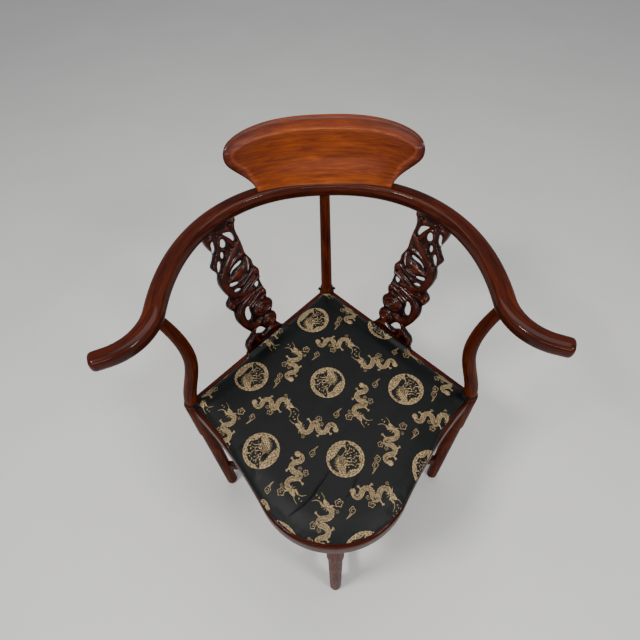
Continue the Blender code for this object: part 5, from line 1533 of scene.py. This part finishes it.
def medallion_figure():
    """Round medallion: a gold disc with small marks, and dark gaps round a plumed dragon."""
    figure = Figure()
    figure.blob((0, 0), MEDALLION_RADIUS, MEDALLION_RADIUS, True, 26, 0.012, 0, 104)
    for k in range(MEDALLION_MARKS):
        angle = 2 * pi * k / MEDALLION_MARKS
        for radius, bend, size in ((32.6, 0.066, 1.3), (28.6, -0.076, 1.4)):
            knots = []
            for share in (-1, -0.3, 0.4, 1):
                turn = angle + share * bend + (0.13 if radius < 30 else 0)
                reach = radius + 1.4 * share * share - 0.4
                knots.append((reach * cos(turn), reach * sin(turn), size * (1 - 0.4 * abs(share))))
            figure.stroke(knots, False, 2)
    for k in range(MEDALLION_FLECKS):
        turn = GOLDEN_TURN * k
        reach = 26.5 * (k / MEDALLION_FLECKS) ** 0.5
        figure.blob((reach * cos(turn), reach * sin(turn)), 1.5, 0.85, False, turn=turn + 0.8, sides=6)
    for gap in MEDALLION_GAPS:
        figure.add(smooth_curve(gap, 3, True), False)
    for k, share in enumerate(np.linspace(0, 1, 10)):
        root = np.array([11.8 + 5.0 * sin(pi * share), 22 - 25 * share])
        angle = 1.05 - 1.35 * share
        reach = 3.2 + 1.6 * (k % 2)
        tip = root + reach * np.array([cos(angle), sin(angle)])
        figure.stroke([(*(root - (1.5, 0)), 1.2), (*((root + tip) / 2), 0.8), (*tip, 0.3)], per=2)
    for k in range(5):
        figure.stroke([(1 + 2.4 * k, 17 - 2 * k, 0.7), (2 + 2.2 * k, 8 - 2 * k, 1.1),
                       (1 + 1.6 * k, -1 - 2 * k, 0.7)], False, 3)
    for knots in MEDALLION_LEAVES:
        figure.stroke(knots, per=3)
    for k in range(MEDALLION_BREAKS):
        turn = GOLDEN_TURN * k + 1.0
        reach = (k / MEDALLION_BREAKS) ** 0.5
        place = (-12.5 + 13.5 * reach * cos(turn), -2.5 + 21.0 * reach * sin(turn))
        figure.blob(place, 2.2, 1.0, False, 2, 0.2, turn, 10)
    for x, y, size in MEDALLION_SPOTS:
        figure.blob((x, y), size, size * 0.8, True, 3, 0.25, x, 12)
    return figure


def cloud_figure():
    figure = Figure()
    add_rosette(figure, 0, 0, 7.2, 0.3)
    return figure


LOBE_STEP = (-3.5, -13.0)


def tailed_cloud_figure(lobes):
    """Cloud of one or two outlined lobes that runs out in a short tail."""
    figure = Figure()
    figure.stroke([(0, 2, 5.0), (1.5, 10, 3.0), (5, 17, 0.4)])
    figure.stroke([(0.4, 4, 2.4), (1.6, 9, 1.0), (3, 12.5, 0.2)], False)
    for k in range(lobes):
        x, y = LOBE_STEP[0] * k, LOBE_STEP[1] * k - 1
        figure.blob((x, y), 5.4, 6.8, True, 4, 0.12, 0.2, 36)
        figure.blob((x, y), 4.3, 5.6, False, 4, 0.12, 0.2, 36)
        figure.stroke([(x - 1.6, y - 2.6, 1.1), (x + 1.5, y - 2.0, 1.1), (x + 1.4, y + 1.4, 1.1),
                       (x - 1.2, y + 1.8, 0.9)])
    return figure


# Where figures stand in a pair of lattice cells: place along a and b, turn in degrees, mirrored
FIGURE_PLACES = {
    "dragon": [(-0.42, -0.24, 90, True), (0.38, 0.24, 270, True), (0.23, -0.61, 0, False),
               (0.73, -0.37, 180, False)],
    "cloud": [(-0.19, -0.48, 0, False), (0.17, 0.46, 0, False)],
    "tailed": [(-0.06, -0.41, 164, False), (0.62, -0.03, -17, False), (1.02, -0.56, -17, False)],
    "double": [(-0.665, 0.05, 179, False)]}
LATTICE_REACH = 4
STEEPEST = 0.15
WRAP_STRIP = 0.022
WRAP_TURN = 0.010
FIGURE_REACH = 0.062


def figure_places():
    """Each figure's points and triangles with its place in plan, its turn and its mirroring."""
    figures = {"medallion": medallion_figure(), "dragon": dragon_figure(), "cloud": cloud_figure(),
               "tailed": tailed_cloud_figure(1), "double": tailed_cloud_figure(2)}
    drawings = {name: figure.triangles() for name, figure in figures.items()}
    lean = np.arctan2(LATTICE_A[1], LATTICE_A[0])
    cells = range(-LATTICE_REACH, LATTICE_REACH + 1)
    placed = []
    for i in cells:
        for j in cells:
            even = (i + j) % 2 == 0
            cell = LATTICE_ORIGIN + LATTICE_A * i + LATTICE_B * j
            placed.append((drawings["medallion"], cell, lean + (0 if even else pi), False))
            if not even:
                continue
            for name, places in FIGURE_PLACES.items():
                for a, b, turn, mirror in places:
                    place = cell + LATTICE_A * a + LATTICE_B * b
                    placed.append((drawings[name], place, lean + radians(turn), mirror))
    return placed


def edge_depth(plan, outline):
    """Nearest places on the pad's outline, and how far points in plan lie inside it."""
    nearest = np.zeros(plan.shape)
    gaps = np.full(len(plan), np.inf)
    inside = np.zeros(len(plan), bool)
    for start, end in zip(outline, np.roll(outline, -1, axis=0)):
        gap, near = nearest_on(plan, start, end)[1:]
        closer = gap < gaps
        nearest[closer] = near[closer]
        gaps = np.minimum(gaps, gap)
        run = end - start
        if run[1] != 0:
            rising = (start[1] > plan[:, 1]) != (end[1] > plan[:, 1])
            inside ^= rising & (plan[:, 0] < start[0] + run[0] * (plan[:, 1] - start[1]) / run[1])
    return nearest, np.where(inside, gaps, -gaps)


def wrapped(plan, outline):
    """Places in plan of cloth drawn over the pad's edge, where a wide strip shows as a narrow one."""
    nearest, depth = edge_depth(plan, outline)
    inward = (plan - nearest) / np.where(np.abs(depth) < 1e-7, 1e-7, depth)[:, None]
    strip = WRAP_STRIP + WRAP_TURN
    drawn = WRAP_STRIP * np.clip((depth + WRAP_TURN) / strip, 0, 1) ** (strip / WRAP_STRIP)
    moved = nearest + inward * drawn[:, None]
    return np.where((depth > WRAP_STRIP)[:, None], plan, moved), depth > -WRAP_TURN


def make_brocade(pad):
    shape = bmesh.new()
    shape.from_mesh(pad.data)
    surface = BVHTree.FromBMesh(shape)
    shape.free()
    outline = pad_outline()
    vertices = []
    faces = []
    down = Vector((0, 0, -1))
    placed = figure_places()
    middles = edge_depth(np.array([centre for drawing, centre, turn, mirror in placed]), outline)[1]
    for ((points, triangles), centre, turn, mirror), middle in zip(placed, middles):
        if middle < -FIGURE_REACH:
            continue
        local = points * (1, -1 if mirror else 1) * MILLIMETRE
        plan = centre + np.stack([local[:, 0] * cos(turn) - local[:, 1] * sin(turn),
                                  local[:, 0] * sin(turn) + local[:, 1] * cos(turn)], axis=1)
        hits = []
        off_pad_or_shaded = np.zeros(len(plan), bool)
        if middle < FIGURE_REACH + WRAP_STRIP:
            plan, on_pad = wrapped(plan, outline)
            off_pad_or_shaded = ~on_pad
        # Gold is also left out beside each splat's foot: painted shade where the pad lies in the splat's
        # shade
        for side in SIDE_NAMES:
            near, beyond, outward = splat_side(plan, side)
            off_pad_or_shaded |= (near > 0.5) & (beyond > -PAD_SHADED_BORDER)
        for (x, y), bare in zip(plan, off_pad_or_shaded):
            place, normal = surface.ray_cast(Vector((x, y + SHIFT[1], 1.0)), down)[:2]
            seen = place and normal.z > STEEPEST and not bare
            hits.append(place + normal * FIGURE_LIFT if seen else None)
        numbers = {}
        for triangle in triangles:
            if any(hits[k] is None for k in triangle):
                continue
            for k in triangle:
                if k not in numbers:
                    numbers[k] = len(vertices)
                    vertices.append(tuple(hits[k]))
            corners = [numbers[k] for k in triangle]
            faces.append(corners[::-1] if mirror else corners)
    mesh = bpy.data.meshes.new("woven_figures")
    mesh.from_pydata(vertices, [], faces)
    figures = add_piece("woven_figures", mesh, GOLD_THREAD, (), 180)
    shell = figures.modifiers.new("thread", "SOLIDIFY")
    shell.thickness = FIGURE_THICKNESS
    shell.offset = -1
    return figures


# Ties of black tape round the posts

def post_at(name, height):
    if name == "rear":
        share = (height - POST_FOOT) / (ARM_RAIL_MIDDLE - POST_FOOT)
        radius = REAR_POST_SEAT_RADIUS + (REAR_POST_TOP_RADIUS - REAR_POST_SEAT_RADIUS) * share
        return np.array([0, REAR_REACH]), radius
    path, radii = arm_post_path()
    x = np.interp(height, path[:, 2], path[:, 0])
    return np.array([x if name == "right" else -x, 0]), np.interp(height, path[:, 2], radii)


def tape_rings(centres, flats, normals, widths, thickness):
    """Rings of a flat tape; flats point along its width and normals off its face."""
    rings = []
    for centre, flat, normal, width in zip(centres, flats, normals, widths):
        ring = []
        for a, b in ((-0.5, -0.35), (-0.44, -0.5), (0.44, -0.5), (0.5, -0.35), (0.5, 0.35), (0.44, 0.5),
                     (0.0, 0.62), (-0.44, 0.5), (-0.5, 0.35)):
            ring.append(centre + flat * (a * width) + normal * (b * thickness))
        rings.append(ring)
    return rings


# Each tie: the way its knot faces in plan, its height, the knot's rise, where its ends start and point,
# and the length of the ends
TIES = {"rear": (pi / 2, 0.0085, 0.0, radians(104), radians(84), 0.0065),
        "right": (pi + 0.50, 0.0070, 0.0035, radians(18), radians(62), 0.0105),
        "left": (-0.50, 0.0070, 0.0035, radians(18), radians(62), 0.0105)}
TIE_END_RISE = 0.42
TIE_END_ROOM = 0.0012
TIE_AROUND = 48
TIE_THIN = 0.0017
TIE_SLOPE = 0.0018
KNOT_HALF = (0.0058, 0.0035, 0.0048)
TIE_TAPE = 0.0015
TIE_ROOM = 0.0014
TIE_RIPPLES = (0.0003, 0.0002)
TIE_WAVE = 0.0004
TIE_END_TILT = 0.8
TIE_END_WIDTH = 0.0050
TIE_END_SPREAD = 0.0030
KNOT_AROUND = 20
KNOT_RINGS = 11


def add_tie_ends(name, centre, radius, facing, rise, start, turn, length):
    """Small pleated knot and two short tape ends; centre is the middle of the post at the tie's height."""

    def way(angle):
        return np.array([cos(angle), sin(angle), 0.0])

    angles = 2 * pi * np.arange(KNOT_AROUND) / KNOT_AROUND
    outward, aside = way(facing), way(facing + pi / 2)
    base = centre + outward * (radius + KNOT_HALF[1]) + UP * rise
    knot = []
    for lean in np.linspace(-pi / 2, pi / 2, KNOT_RINGS):
        size = max(cos(lean), 0.05) * (1 + 0.10 * np.sin(4 * angles + 2 * lean))
        knot.append(base + aside * (KNOT_HALF[0] * sin(lean))
                    + np.outer(KNOT_HALF[1] * size * np.cos(angles), outward)
                    + np.outer(KNOT_HALF[2] * size * np.sin(angles), UP))
    ends = [add_piece("tie_knot_" + name, skin("tie_knot", knot, None), TIE_CLOTH, (), 80)]
    share = np.linspace(0, 1, 14)
    for hand in (RIGHT, LEFT):
        heading = way(facing - hand * turn)
        root = centre + way(facing - hand * start) * (radius + TIE_END_ROOM) + UP * rise
        places = root + np.outer(length * share, heading) + np.outer(TIE_END_RISE * length * share**1.5, UP)
        run = headings_of(places)
        normals = np.cross(run, UP)
        normals *= -np.sign(normals[:, 1].sum())
        normals /= np.linalg.norm(normals, axis=1)[:, None]
        normals = normals * cos(TIE_END_TILT) + UP * sin(TIE_END_TILT)
        flats = np.cross(normals, run)
        flats /= np.linalg.norm(flats, axis=1)[:, None]
        rings = tape_rings(places, flats, normals, TIE_END_WIDTH + TIE_END_SPREAD * share, TIE_TAPE)
        tail = "tie_tail_" + name + "_" + SIDE_NAMES[hand]
        ends.append(add_piece(tail, skin(tail, rings, None), TIE_CLOTH, (), 60))
    return ends


def make_ties():
    for name, (facing, lift, *knot) in TIES.items():
        height = SEAT_HEIGHT + lift
        centre, radius = post_at(name, height)
        angles = facing + 2 * pi * np.arange(TIE_AROUND) / TIE_AROUND
        reach = radius + TIE_ROOM + TIE_RIPPLES[0] * np.sin(3 * angles) + TIE_RIPPLES[1] * np.sin(7 * angles)
        normals = np.stack([np.cos(angles), np.sin(angles), np.zeros(TIE_AROUND)], axis=1)
        level = height + TIE_SLOPE * np.cos(angles - facing) + TIE_WAVE * np.sin(2 * angles + 1.0)
        places = np.column_stack([centre + reach[:, None] * normals[:, :2], level])
        widths = TIE_THIN + (TIE_WIDTH - TIE_THIN) * (0.5 + 0.5 * np.cos(angles - facing)) ** 1.5
        rings = tape_rings(places, np.tile(UP, (TIE_AROUND, 1)), normals, widths, TIE_TAPE)
        mesh = skin("tie_" + name, rings, None, looped=True)
        tie = add_piece("tie_" + name, mesh, TIE_CLOTH, ["cushion_tie_" + name], 60)
        ends = add_tie_ends(name, np.array([*centre, height]), radius, facing, *knot)


# Floor, sky and lights

FLOOR_HALF_SIZE = 9.0
FLOOR_TONES = [(0.3, (0.64, 0.64, 0.63)), (0.7, (0.67, 0.67, 0.66))]
SKY_COLOUR = (0.95, 0.97, 1.0, 1)
SKY_STRENGTH = 0.37
# Lights: place, target, width and depth, power, colour
LIGHTS = {
    "ceiling": ((0.2, 0.5, 2.9), (0, 0, 0.4), (2.2, 1.2), 27, (1.0, 0.97, 0.93)),
    "key": ((-1.15, -0.75, 2.6), (0, 0, 0.6), (0.5, 0.3), 44, (1.0, 0.98, 0.95)),
    "front_fill": ((1.3, -1.2, 2.3), (0, 0, 0.5), (0.5, 0.3), 30, (1.0, 0.98, 0.96)),
    "window": ((-0.5, -3.2, 2.0), (0, 0.2, 0.8), (2.2, 0.2), 26, (1.0, 1.0, 1.0))}


def make_stage():
    shape = bmesh.new()
    bmesh.ops.create_grid(shape, x_segments=24, y_segments=24, size=FLOOR_HALF_SIZE)
    mesh = bpy.data.meshes.new("floor")
    shape.to_mesh(mesh)
    shape.free()
    material, tree, shader = blank_material("floor_paint", {"Roughness": 0.7})
    tone = noise(tree, object_place(tree), 3.0, 4, 0.5)
    tree.links.new(colour_ramp(tree, tone, FLOOR_TONES), shader.inputs["Base Color"])
    mesh.materials.append(material)
    floor = bpy.data.objects.new("floor", mesh)
    bpy.context.collection.objects.link(floor)
    world = bpy.data.worlds.new("studio")
    world.use_nodes = True
    sky = world.node_tree.nodes["Background"]
    sky.inputs["Color"].default_value = SKY_COLOUR
    sky.inputs["Strength"].default_value = SKY_STRENGTH
    bpy.context.scene.world = world
    for name, settings in LIGHTS.items():
        add_light(name, *settings)


def main():
    make_camera()
    make_stage()
    make_arm_rails()
    make_crest()
    make_legs()
    make_seat_frame()
    make_splats()
    pad = make_pad()
    make_brocade(pad)
    make_ties()
    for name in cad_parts:
        item = bpy.data.objects.get(name)
        if item is not None and not item.hide_render:
            item.data.materials.clear()
            item.data.materials.append(INNER_WOOD)


main()
